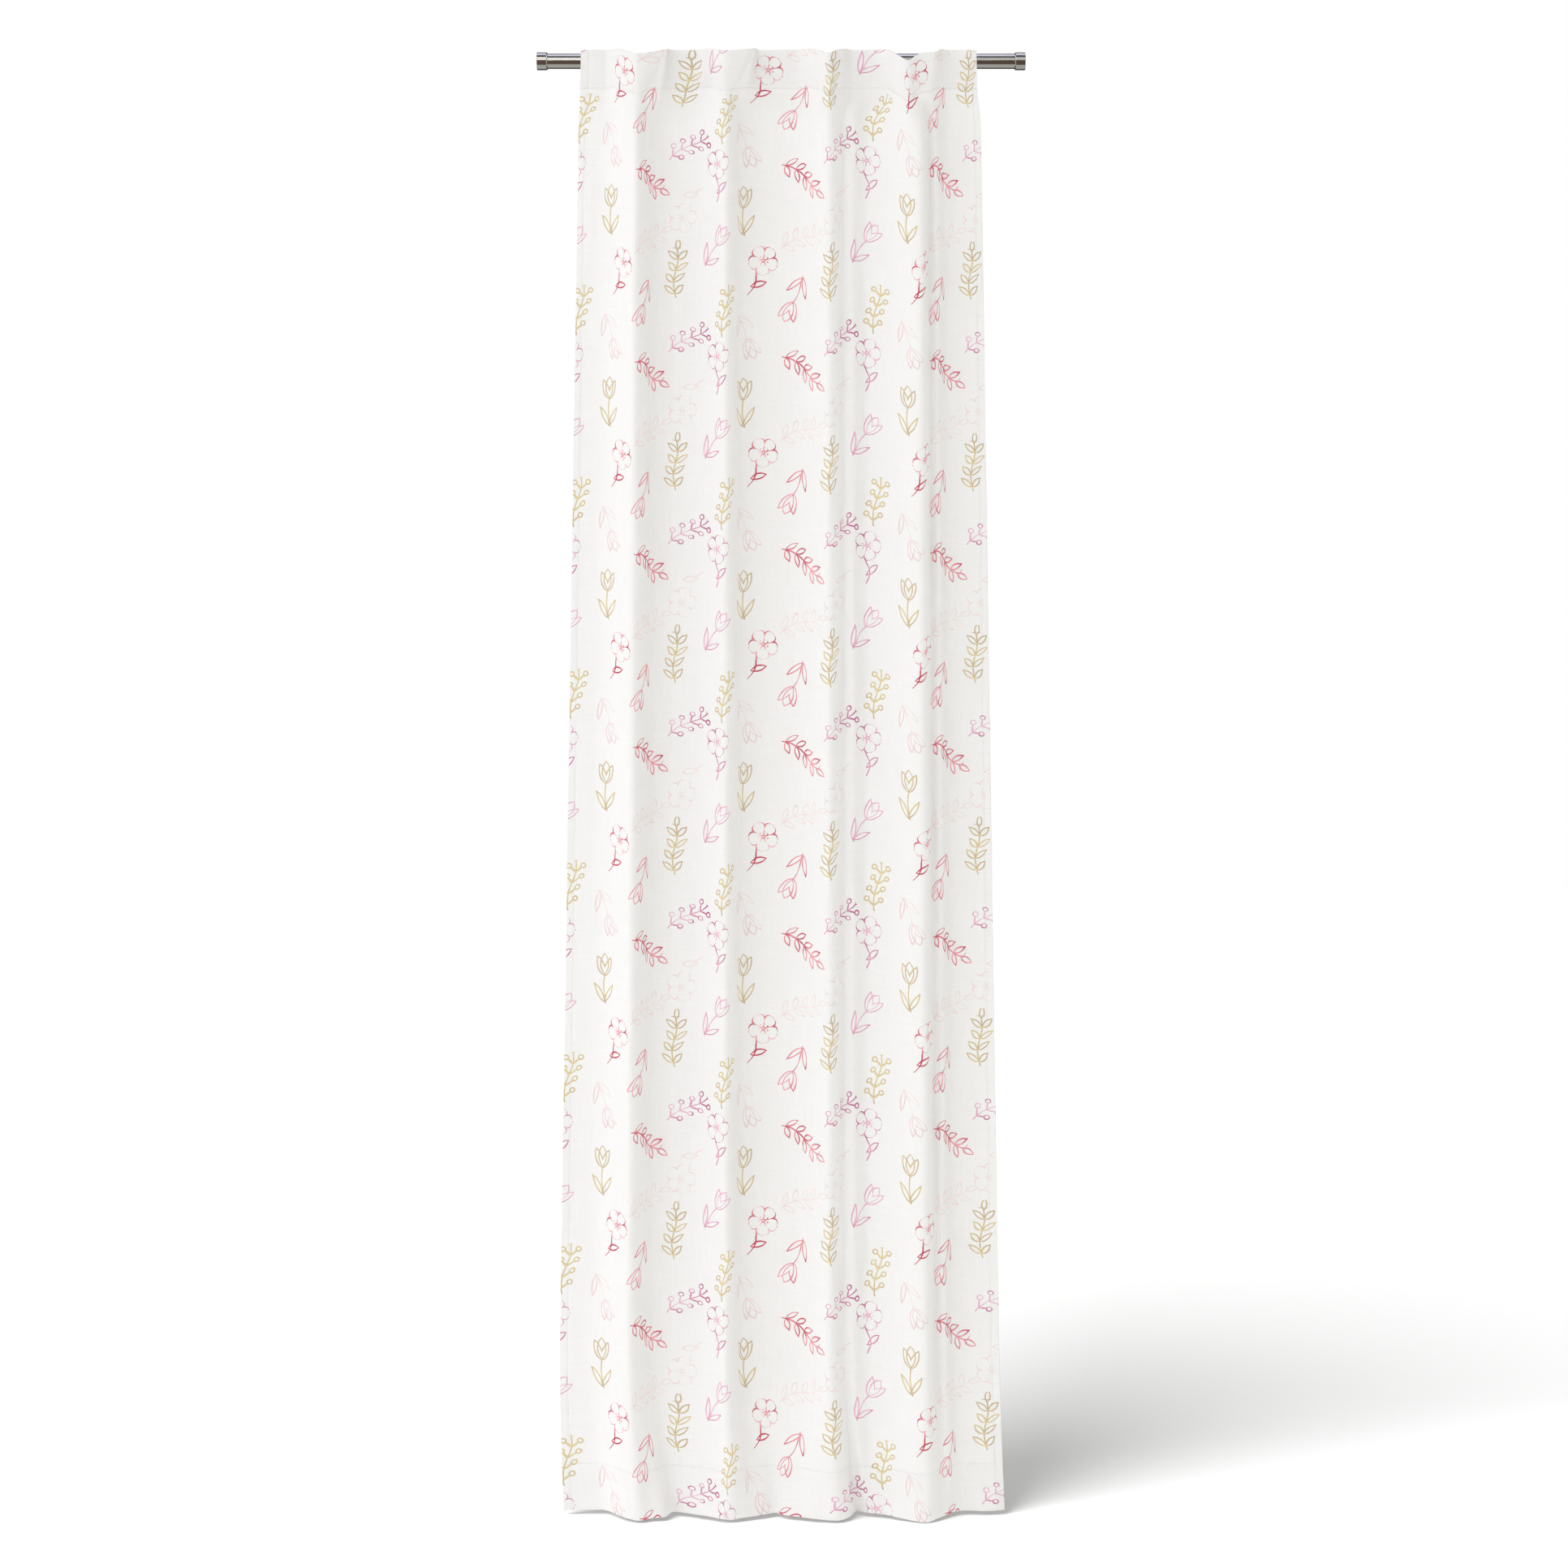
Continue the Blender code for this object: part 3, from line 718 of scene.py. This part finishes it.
def printed_layer(tree, place, layer):
    """One grid of motifs: how much ink lies at a place, and its colour."""
    width, height = CELL
    cells = add(tree, "VectorMath", place, (layer * width / 2, layer * height / 2, 0.0),
                operation="ADD")
    cells = add(tree, "VectorMath", cells, (width, height, 1.0), operation="DIVIDE")
    index = add(tree, "VectorMath", cells, operation="FLOOR")
    index = add(tree, "VectorMath", index, (CELLS_ACROSS, CELLS_DOWN, 1.0), (0.0, 0.0, 0.0),
                operation="WRAP")
    index = add(tree, "VectorMath", index, (1.0, CELLS_ACROSS, 0.0),
                operation="DOT_PRODUCT").outputs["Value"]
    count = len(PLACES)
    first = (layer * CELLS_ACROSS * CELLS_DOWN + 0.5) / count
    spot = add(tree, "Math", index, 1 / count, first, operation="MULTIPLY_ADD")
    local = add(tree, "VectorMath", cells, operation="FRACTION")
    local = add(tree, "VectorMath", local, (width, -height, 0.0), (-width / 2, height / 2, 0.0),
                operation="MULTIPLY_ADD")

    placing = stepped_table(tree, spot, [
        (kind / TENS, turn / 360, 0.5 + across / SHIFTS, 0.5 + down / SHIFTS)
        for kind, turn, across, down, _ in PLACES
    ])
    stored_kind, stored_turn, stored_across = add(tree, "SeparateColor", placing).outputs
    moved = add(tree, "CombineXYZ", stored_across, placing.outputs["Alpha"])
    moved = add(tree, "VectorMath", moved, (-SHIFTS, -SHIFTS, 0.0), (SHIFTS / 2, SHIFTS / 2, 0.0),
                operation="MULTIPLY_ADD")
    local = add(tree, "VectorMath", local, moved, operation="ADD")
    turn = add(tree, "Math", stored_turn, math.tau, operation="MULTIPLY")
    turned = add(tree, "VectorRotate", local, rotation_type="Z_AXIS", sockets={"Angle": turn})

    # Each motif reads another layer of the noises, so that no two are brushed alike
    own = add(tree, "CombineXYZ", 0.0, 0.0, add(tree, "Math", spot, 97.0, operation="MULTIPLY"))
    seed_place = add(tree, "VectorMath", turned, own, operation="ADD")
    wobble = add(tree, "TexNoise", sockets={"Vector": seed_place, "Scale": 1 / WOBBLE_LENGTH,
                                            "Detail": 1.0}).outputs["Color"]
    wobble = add(tree, "VectorMath", wobble, (WOBBLE,) * 3, (-WOBBLE / 2,) * 3,
                 operation="MULTIPLY_ADD")
    wobble = add(tree, "VectorMath", wobble, (1.0, 1.0, 0.0), operation="MULTIPLY")
    drawn_place = add(tree, "VectorMath", turned, wobble, operation="ADD")
    kind = add(tree, "Math", stored_kind, TENS, operation="MULTIPLY")
    motif = add(tree, "Group", node_tree=motif_tree, sockets={"Place": drawn_place, "Kind": kind})

    paints = [PAINTS[name] for *_, name in PLACES]
    deep = stepped_table(tree, spot, [(*linear(tone)[:3], double) for tone, _, double, _ in paints])
    pale = stepped_table(tree, spot, [(*linear(tone)[:3], half / TENS) for _, tone, _, half in paints])
    hollow = deep.outputs["Alpha"]
    brush = add(tree, "TexNoise", sockets={"Vector": seed_place, "Scale": 1 / BRUSH_LENGTH,
                                           "Detail": 0.0})
    brush = add(tree, "MapRange", brush, 0.32, 0.68, THINNEST_LINE, 1.0)
    brush = add(tree, "Math", brush, hollow, operation="MAXIMUM")
    half_width = add(tree, "Math", pale.outputs["Alpha"], TENS, operation="MULTIPLY")
    half_width = add(tree, "Math", half_width, brush, operation="MULTIPLY")
    inside = add(tree, "Math", half_width, motif, operation="SUBTRACT")
    ink = add(tree, "MapRange", inside, -EDGE_SOFTNESS, EDGE_SOFTNESS, 0.0, 1.0,
              interpolation_type="SMOOTHSTEP")

    tone = add(tree, "TexNoise", sockets={"Vector": seed_place, "Scale": 1 / TONE_LENGTH,
                                          "Detail": 2.0})
    tone = add(tree, "MapRange", tone, 0.38, 0.62, 0.0, 1.0, interpolation_type="SMOOTHSTEP")
    middle = add(tree, "MapRange", motif, *HOLLOW_REACH, HOLLOW_SHARE, 0.0,
                 interpolation_type="SMOOTHSTEP")
    middle = add(tree, "Math", middle, hollow, operation="MULTIPLY")
    colour = add(tree, "Mix", data_type="RGBA", sockets={0: tone, 6: pale, 7: deep}).outputs[2]
    return ink, add(tree, "Mix", data_type="RGBA",
                    sockets={0: middle, 6: colour, 7: linear(HOLLOW_COLOUR)}).outputs[2]


print_tree, given = new_group("garden_print", ("Place", "INPUT", "Vector"),
                              ("Ink", "OUTPUT", "Float"), ("Colour", "OUTPUT", "Color"))
in_mm = add(print_tree, "VectorMath", given["Place"], (1000.0, 1000.0, 0.0), operation="MULTIPLY")
first_ink, first_colour = printed_layer(print_tree, in_mm, 0)
second_ink, second_colour = printed_layer(print_tree, in_mm, 1)
ink = add(print_tree, "Math", first_ink, second_ink, operation="MAXIMUM")
second_wins = add(print_tree, "Math", second_ink, first_ink, operation="GREATER_THAN")
colour = add(print_tree, "Mix", data_type="RGBA",
             sockets={0: second_wins, 6: first_colour, 7: second_colour}).outputs[2]
add(print_tree, "NodeGroupOutput", ink, colour)
print("print group:", len(print_tree.nodes), "nodes;", len(PLACES), "motifs to a repeat")

# %% [markdown]
# The cloth is woven polyester, printed on its face. Woven means it is matt, with a faint
# sheen at a grazing angle and threads of slightly uneven thickness. Its threads are 0.4 mm
# apart, far too fine for this picture, so the weave is drawn as slubs 2.4 mm wide, the
# coarser unevenness that an eye does see from a step away.

# %% Printed polyester
SLUB_WIDTH = 0.0024
SLUB_LENGTH = 0.045
# Painted shade: doubled cloth lets less light through, so the header and the hems are painted a little
# greyer than single cloth
HEADER_PAINTED_SHADE = 0.030
HEM_PAINTED_SHADE = 0.008


def woven(tree, place, depth):
    """Uneven threads both ways: a level from 0 to 1, and a bumped normal of that depth."""
    threads = []
    for across, down in ((SLUB_WIDTH, SLUB_LENGTH), (SLUB_LENGTH, SLUB_WIDTH)):
        way = add(tree, "VectorMath", place, (1 / across, 1 / down, 1.0), operation="MULTIPLY")
        threads.append(add(tree, "TexNoise", sockets={"Vector": way, "Scale": 1.0, "Detail": 2.0}))
    level = add(tree, "Math", add(tree, "Math", *threads, operation="ADD"), 0.5, operation="MULTIPLY")
    bump = add(tree, "Bump", sockets={"Strength": 1.0, "Distance": depth, "Height": level})
    return level, bump


def hem_masks(tree, flat_place):
    """1 in the header, in the bottom hem and in the side hems, and 0 elsewhere."""
    x, y, _ = add(tree, "SeparateXYZ", flat_place).outputs
    at_top = add(tree, "Math", y, HEADER_HEIGHT, operation="LESS_THAN")
    at_hem = add(tree, "Math", y, DROP - HEM_HEIGHT, operation="GREATER_THAN")
    from_middle = apart(tree, x, flat_width / 2)
    at_side = add(tree, "Math", from_middle, flat_width / 2 - SIDE_HEM_WIDTH, operation="GREATER_THAN")
    return at_top, at_hem, at_side


def printed(tree, place):
    """The colour of the white cloth with its print."""
    drawn = add(tree, "Group", place, node_tree=print_tree)
    return add(tree, "Mix", data_type="RGBA",
               sockets={0: drawn.outputs["Ink"], 6: CLOTH_WHITE, 7: drawn.outputs["Colour"]}).outputs[2]


printed_cloth, tree = new_material("printed_polyester")
flat_place = add(tree, "UVMap", uv_map="cloth")
level, bump = woven(tree, flat_place, 0.00025)
shade = add(tree, "MapRange", level, 0.35, 0.65, 0.975, 1.015)
# Painted shade: the header and the hems are made darker in the base colour itself
for mask, depth in zip(hem_masks(tree, flat_place), (HEADER_PAINTED_SHADE, HEM_PAINTED_SHADE, HEM_PAINTED_SHADE)):
    shade = add(tree, "Math", mask, -depth, shade, operation="MULTIPLY_ADD")
base = add(tree, "VectorMath", printed(tree, flat_place), operation="SCALE", sockets={"Scale": shade})
add(tree, "OutputMaterial", add(tree, "BsdfPrincipled",
                                sockets={"Base Color": base, "Normal": bump, "Roughness": 0.82,
                                         "Specular IOR Level": 0.25, "Sheen Weight": 0.06,
                                         "Sheen Roughness": 0.45}))
panel.data.materials.append(printed_cloth)
print("printed cloth:", len(tree.nodes), "nodes")

# %% [markdown]
# The back is a white blackout lining: a dense, slightly rubbery coating on the weave, so it
# is smoother and a touch cooler than the face. In the hems the printed face is turned over to
# the back, and the print carries on round the folded edge, as if unrolled.

# %% Blackout lining
lining, tree = new_material("coated_blackout_lining")
flat_place = add(tree, "UVMap", uv_map="cloth")
at_top, at_hem, at_side = hem_masks(tree, flat_place)
turned_over = add(tree, "Math", add(tree, "Math", at_top, at_hem, operation="MAXIMUM"), at_side,
                  operation="MAXIMUM")
x, y, _ = add(tree, "SeparateXYZ", flat_place).outputs
past_top = add(tree, "Math", y, -1.0, operation="MULTIPLY")
past_hem = add(tree, "Math", 2 * DROP, y, operation="SUBTRACT")
unrolled = add(tree, "Mix", sockets={0: at_hem, 2: past_top, 3: past_hem})
unrolled = add(tree, "CombineXYZ", x, unrolled)
level, bump = woven(tree, flat_place, 0.00012)
shade = add(tree, "MapRange", level, 0.35, 0.65, 0.985, 1.01)
ground = add(tree, "Mix", data_type="RGBA",
             sockets={0: turned_over, 6: linear("#EFF0F0"), 7: printed(tree, unrolled)}).outputs[2]
base = add(tree, "VectorMath", ground, operation="SCALE", sockets={"Scale": shade})
add(tree, "OutputMaterial", add(tree, "BsdfPrincipled",
                                sockets={"Base Color": base, "Normal": bump, "Roughness": 0.62,
                                         "Specular IOR Level": 0.3}))
panel.data.materials.append(lining)
print("lining:", len(tree.nodes), "nodes")

# %% [markdown]
# The back tabs are strips of tape. Each is sewn to the back of the header at its top edge,
# goes over the rod, and comes back to the header's stitch line. The strip follows the same
# path as the solid in the frame, with the thickness of the tape and its softly rounded edges.

# %% Path of a back tab
TAB_WIDTH = 0.046
TAB_THICKNESS = 0.001
TAB_TURN_RADIUS = 0.0012
TAB_SEAM_ALLOWANCE = 0.009
TAB_BELOW_TOP = 0.0008
CONTACT_GAP = 0.0003
# Points of the path up its first foot, round the turn, round the rod, back, and down
FOOT_POINTS, TURN_POINTS, ROUND_POINTS, BACK_POINTS, SEAM_POINTS = 6, 9, 44, 12, 5

rod_low, rod_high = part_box("rod")
rod_radius = (rod_high.z - rod_low.z) / 2


def arc(y, z, radius, angles):
    """Points of a round in the YZ plane."""
    return [(y + radius * math.cos(a), z + radius * math.sin(a)) for a in angles]


def tab_path():
    """Centre line of a back tab in the YZ plane, from its top foot round the rod."""
    seat = rod_radius + CONTACT_GAP + TAB_THICKNESS / 2
    foot_y = panel_back + CONTACT_GAP + TAB_THICKNESS / 2
    clear_of_rod = rod_radius - TAB_THICKNESS - 2 * CONTACT_GAP
    foot_low = math.sqrt(rod_radius**2 - clear_of_rod**2)
    turn_y = foot_y + TAB_TURN_RADIUS
    turn_z = panel_top - TAB_BELOW_TOP - TAB_THICKNESS / 2 - TAB_TURN_RADIUS
    lift = math.acos((TAB_TURN_RADIUS - seat) / math.hypot(turn_y, turn_z))
    leave = math.atan2(-turn_z, -turn_y) + lift
    seam_z = panel_top - HEADER_HEIGHT + TAB_SEAM_ALLOWANCE
    release = math.atan2(seam_z, foot_y) + math.acos(seat / math.hypot(foot_y, seam_z))
    path = [(foot_y, z) for z in np.linspace(foot_low, turn_z, FOOT_POINTS, endpoint=False)]
    path += arc(turn_y, turn_z, TAB_TURN_RADIUS, np.linspace(math.pi, leave, TURN_POINTS))
    path += arc(0, 0, seat, np.linspace(leave, release, ROUND_POINTS))
    path += list(np.linspace(path[-1], (foot_y, seam_z), BACK_POINTS)[1:])
    path += [(foot_y, z) for z in np.linspace(seam_z, panel_top - HEADER_HEIGHT, SEAM_POINTS)[1:]]
    return np.array(path)


tab_line = tab_path()
tab_down = distance_along(tab_line)
print("each tab is", round(tab_down[-1] * 1000), "mm of tape")

# %% Build the five tabs
TAB_COLUMNS = 20
TAPE_EDGE_ROUND = 0.0003
TAPE_EDGE_ANGLE = 50
# Herringbone tape has ribs this far apart, which show from close behind
RIB_PITCH = 0.0015
# A wave texture of scale 1 has this many radians to a metre
WAVE_RADIANS = 20

tape, tree = new_material("woven_cotton_tape")
flat_place = add(tree, "UVMap", uv_map="cloth")
ribs = add(tree, "TexWave", wave_type="BANDS", bands_direction="X", sockets={
    "Vector": flat_place, "Scale": math.tau / (WAVE_RADIANS * RIB_PITCH), "Distortion": 0.6,
})
level, _ = woven(tree, flat_place, 0.0001)
height = add(tree, "Math", ribs, level, operation="ADD")
bump = add(tree, "Bump", sockets={"Strength": 0.7, "Distance": 0.0002, "Height": height})
# Painted shade: the tape's colour is darker where its ribs are low, in the grooves between them
shade = add(tree, "MapRange", ribs, 0.0, 1.0, 0.95, 1.0)
base = add(tree, "VectorMath", linear("#EDECEA")[:3], operation="SCALE", sockets={"Scale": shade})
add(tree, "OutputMaterial", add(tree, "BsdfPrincipled",
                                sockets={"Base Color": base, "Normal": bump, "Roughness": 0.88,
                                         "Specular IOR Level": 0.25}))

tab_across = np.linspace(-TAB_WIDTH / 2, TAB_WIDTH / 2, TAB_COLUMNS)
for number in range(1, len(TAB_STATIONS) + 1):
    low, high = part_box(f"back_tab_{number}")
    places = np.zeros((len(tab_line), TAB_COLUMNS, 3))
    places[..., 0] = (low.x + high.x) / 2 + tab_across
    places[..., 1:] = tab_line[:, None, :]
    flat = np.stack(np.meshgrid(tab_across, tab_down), axis=-1)
    tab = cloth_grid(f"tab_{number}", places, flat)
    thicken = tab.modifiers.new("tape", "SOLIDIFY")
    thicken.thickness = TAB_THICKNESS
    thicken.offset = 0
    soften = tab.modifiers.new("soft_edge", "BEVEL")
    soften.width = TAPE_EDGE_ROUND
    soften.segments = 2
    soften.limit_method = "ANGLE"
    soften.angle_limit = math.radians(TAPE_EDGE_ANGLE)
    tab.data.materials.append(tape)
    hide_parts(f"back_tab_{number}")
    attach(tab, "root")

# %% [markdown]
# The seams are sewn with a lockstitch, which looks the same on both sides: short stitches
# end to end, each dipping into the cloth where the needle went. They follow the grooves that
# the panel's mesh has along its stitch lines. Real thread is 0.25 mm thick, and this is drawn
# at twice that, so that the line reads from across a room.

# %% Thread
STITCH_LENGTH = 0.0030
STITCH_GAP = 0.0006
THREAD_RADIUS = 0.00025
RING_POINTS = 4
FUZZ_SIZE = 1 / 900
# Along one stitch: how far along, how thick, and how high it lies, the last two in radii
STITCH_PROFILE = (
    (0.0, 0.5, -0.6), (0.18, 1.0, 0.5), (0.5, 1.0, 0.8), (0.82, 1.0, 0.5), (1.0, 0.5, -0.6),
)

thread, tree = new_material("spun_polyester_thread")
fuzz = add(tree, "TexNoise", sockets={"Scale": 1 / FUZZ_SIZE, "Detail": 2.0})
shade = add(tree, "MapRange", fuzz, 0.3, 0.7, 0.93, 1.0)
base = add(tree, "VectorMath", linear("#E4E2DE")[:3], operation="SCALE", sockets={"Scale": shade})
add(tree, "OutputMaterial", add(tree, "BsdfPrincipled", sockets={"Base Color": base, "Roughness": 0.6}))


def sew(line, upward, height):
    """Places and faces of stitches along a line, lying at a height above it."""
    length = distance_along(line)
    starts = np.arange(STITCH_GAP, length[-1] - STITCH_LENGTH, STITCH_LENGTH + STITCH_GAP)
    steps, shares, rises = np.array(STITCH_PROFILE).T
    reach = starts[:, None] + steps * STITCH_LENGTH
    centre, lift = (
        np.stack([np.interp(reach, length, way[:, k]) for k in range(3)], axis=-1)
        for way in (line, upward)
    )
    ahead = np.gradient(centre, axis=1)
    ahead /= np.linalg.norm(ahead, axis=-1, keepdims=True)
    side = np.cross(ahead, lift)
    thickness = (shares * THREAD_RADIUS)[:, None]
    centre = centre + lift * (height + rises * THREAD_RADIUS)[:, None]
    rings = []
    for angle in np.linspace(0, math.tau, RING_POINTS, endpoint=False) + math.pi / 4:
        rings.append(centre + (math.cos(angle) * side + math.sin(angle) * lift) * thickness)
    places = np.stack(rings, axis=2)
    count, stages = places.shape[:2]
    index = np.arange(count * stages * RING_POINTS).reshape(count, stages, RING_POINTS)
    ahead_index = np.roll(index, -1, axis=2)
    sides = np.stack([index[:, :-1], ahead_index[:, :-1], ahead_index[:, 1:], index[:, 1:]], axis=-1)
    caps = np.concatenate([index[:, 0, ::-1], index[:, -1]])
    return places.reshape(-1, 3), np.concatenate([sides.reshape(-1, 4), caps])


def sewn_piece(name, seams, side, height):
    """Sew all seams on the front, side 1, or the back, side -1, as one piece of thread."""
    all_places, all_faces, total = [], [], 0
    for line, forward in seams:
        places, faces = sew(line, side * forward, height)
        all_places.append(places)
        all_faces.append(faces + total)
        total += len(places)
    mesh = bpy.data.meshes.new(name)
    mesh.from_pydata(np.concatenate(all_places).tolist(), [], np.concatenate(all_faces).tolist())
    mesh.shade_smooth()
    mesh.materials.append(thread)
    piece = show(name, mesh)
    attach(piece, "root")
    print(name, len(mesh.polygons), "faces")
    return piece


# %% Sew the four seams, on the front and on the back
seam_lines = []
for seam in (header_seam, hem_seam):
    row = int(np.argmin(np.abs(rows - seam)))
    seam_lines.append((cloth[row], outward[row]))
for seam in (left_seam, right_seam):
    column = int(np.argmin(np.abs(columns - seam)))
    seam_lines.append((cloth[:, column], outward[:, column]))
front_thread = sewn_piece("front_stitches", seam_lines, 1, 0.0)
back_thread = sewn_piece("back_stitches", seam_lines, -1, 2 * CLOTH_THICKNESS)

# %% [markdown]
# The rod is a drawn stainless steel tube, brushed along its length, so its highlight is a
# stack of straight bands with a fine grain. The caps are turned from the same steel: a
# rounded outer edge, and a bevel where the skirt ends on the tube. Both are profiles turned
# round the X axis with a Screw modifier.

# %% Brushed stainless steel
# Real grain is 0.05 mm wide; it is drawn 0.9 mm wide, so that it shows as a faint unevenness
GRAIN_WIDTH = 0.0009
GRAIN_LENGTH = 0.030
SPECK_SIZE = 1 / 1400

steel, tree = new_material("brushed_stainless_steel")
place = add(tree, "TexCoord").outputs["Object"]
along_grain = (1 / GRAIN_WIDTH, 1 / GRAIN_WIDTH, 1 / GRAIN_LENGTH)
stretched = add(tree, "VectorMath", place, along_grain, operation="MULTIPLY")
grain = add(tree, "TexNoise", sockets={"Vector": stretched, "Scale": 1.0, "Detail": 3.0})
speck = add(tree, "TexNoise", sockets={"Vector": place, "Scale": 1 / SPECK_SIZE, "Detail": 1.0})
mixed = add(tree, "Math", grain, speck, operation="ADD")
shade = add(tree, "MapRange", mixed, 0.7, 1.3, 0.82, 1.08)
base = add(tree, "VectorMath", linear("#B4B2B0")[:3], operation="SCALE", sockets={"Scale": shade})
rough = add(tree, "MapRange", grain, 0.3, 0.7, 0.13, 0.20)
bump = add(tree, "Bump", sockets={"Strength": 0.4, "Distance": 0.00005, "Height": mixed})
add(tree, "OutputMaterial", add(tree, "BsdfPrincipled",
                                sockets={"Base Color": base, "Roughness": rough, "Normal": bump,
                                         "Metallic": 1.0}))
print("brushed steel:", len(tree.nodes), "nodes")

# %% Turned pieces
TURNED_STEPS = 96
MERGE_DISTANCE = 0.00001


def turned_piece(name, profile, closed, node, direction=1):
    """Turn a profile of (radius, height) points round its Z axis, and lay it along X."""
    mesh = bpy.data.meshes.new(name)
    count = len(profile)
    edges = [(i, (i + 1) % count) for i in range(count if closed else count - 1)]
    mesh.from_pydata([(radius, 0.0, height) for radius, height in profile], edges, [])
    mesh.materials.append(steel)
    piece = show(name, mesh)
    screw = piece.modifiers.new("turn", "SCREW")
    screw.steps = TURNED_STEPS
    screw.render_steps = TURNED_STEPS
    screw.use_merge_vertices = True
    screw.merge_threshold = MERGE_DISTANCE
    low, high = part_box(node)
    piece.rotation_euler = (0, math.radians(90 * direction), 0)
    piece.location = ((low.x + high.x) / 2, 0, 0)
    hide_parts(node)
    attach(piece, "root")
    return piece


def rounded(corner_radius, corner_height, size, way_out, way_up, points=5):
    """A small round at a profile's corner, from the radial side to the end side or back."""
    out, up = size * way_out, size * way_up
    angles = np.linspace(0, math.pi / 2, points)
    return [
        (corner_radius - out + out * math.cos(a), corner_height - up + up * math.sin(a)) for a in angles
    ]


ROD_WALL = 0.001
EDGE_ROUND = 0.0002
half_tube = (rod_high.x - rod_low.x) / 2
bore = rod_radius - ROD_WALL
tube_profile = rounded(rod_radius, half_tube, EDGE_ROUND, 1, 1)[::-1]
tube_profile += rounded(rod_radius, -half_tube, EDGE_ROUND, 1, -1)
tube_profile += [(bore, -half_tube), (bore, half_tube)]
turned_piece("tube", tube_profile, True, "rod")
print("tube", round(2 * half_tube, 4), "m long and", round(2000 * rod_radius, 1), "mm across")

# %% End caps
CAP_FACE = 0.002
CAP_OUTER_ROUND = 0.0009
CAP_INNER_BEVEL = 0.0016
CAP_SUPPORT = 0.0002

for side, direction in (("left", -1), ("right", 1)):
    low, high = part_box(f"end_cap_{side}")
    cap_radius = (high.z - low.z) / 2
    half_cap = (high.x - low.x) / 2
    inner = rod_radius + CONTACT_GAP
    cap_profile = [(0.0, half_cap)]
    cap_profile += rounded(cap_radius, half_cap, CAP_OUTER_ROUND, 1, 1, points=8)[::-1]
    # A second point close to each end of the skirt and of the bevel keeps both straight
    for end in (half_cap - CAP_OUTER_ROUND - CAP_SUPPORT, CAP_INNER_BEVEL + CAP_SUPPORT - half_cap):
        cap_profile.append((cap_radius, end))
    for along in (0, CAP_SUPPORT, CAP_INNER_BEVEL - CAP_SUPPORT, CAP_INNER_BEVEL):
        cap_profile.append((cap_radius - along, -half_cap + CAP_INNER_BEVEL - along))
    cap_profile += [(inner, -half_cap), (inner, half_cap - CAP_FACE), (0.0, half_cap - CAP_FACE)]
    cap = turned_piece(f"cap_{side}", cap_profile, False, f"end_cap_{side}", direction)
    cap.data.shade_smooth()
    print(cap.name, round(2000 * cap_radius, 1), "mm across and", round(2000 * half_cap, 1), "mm long")
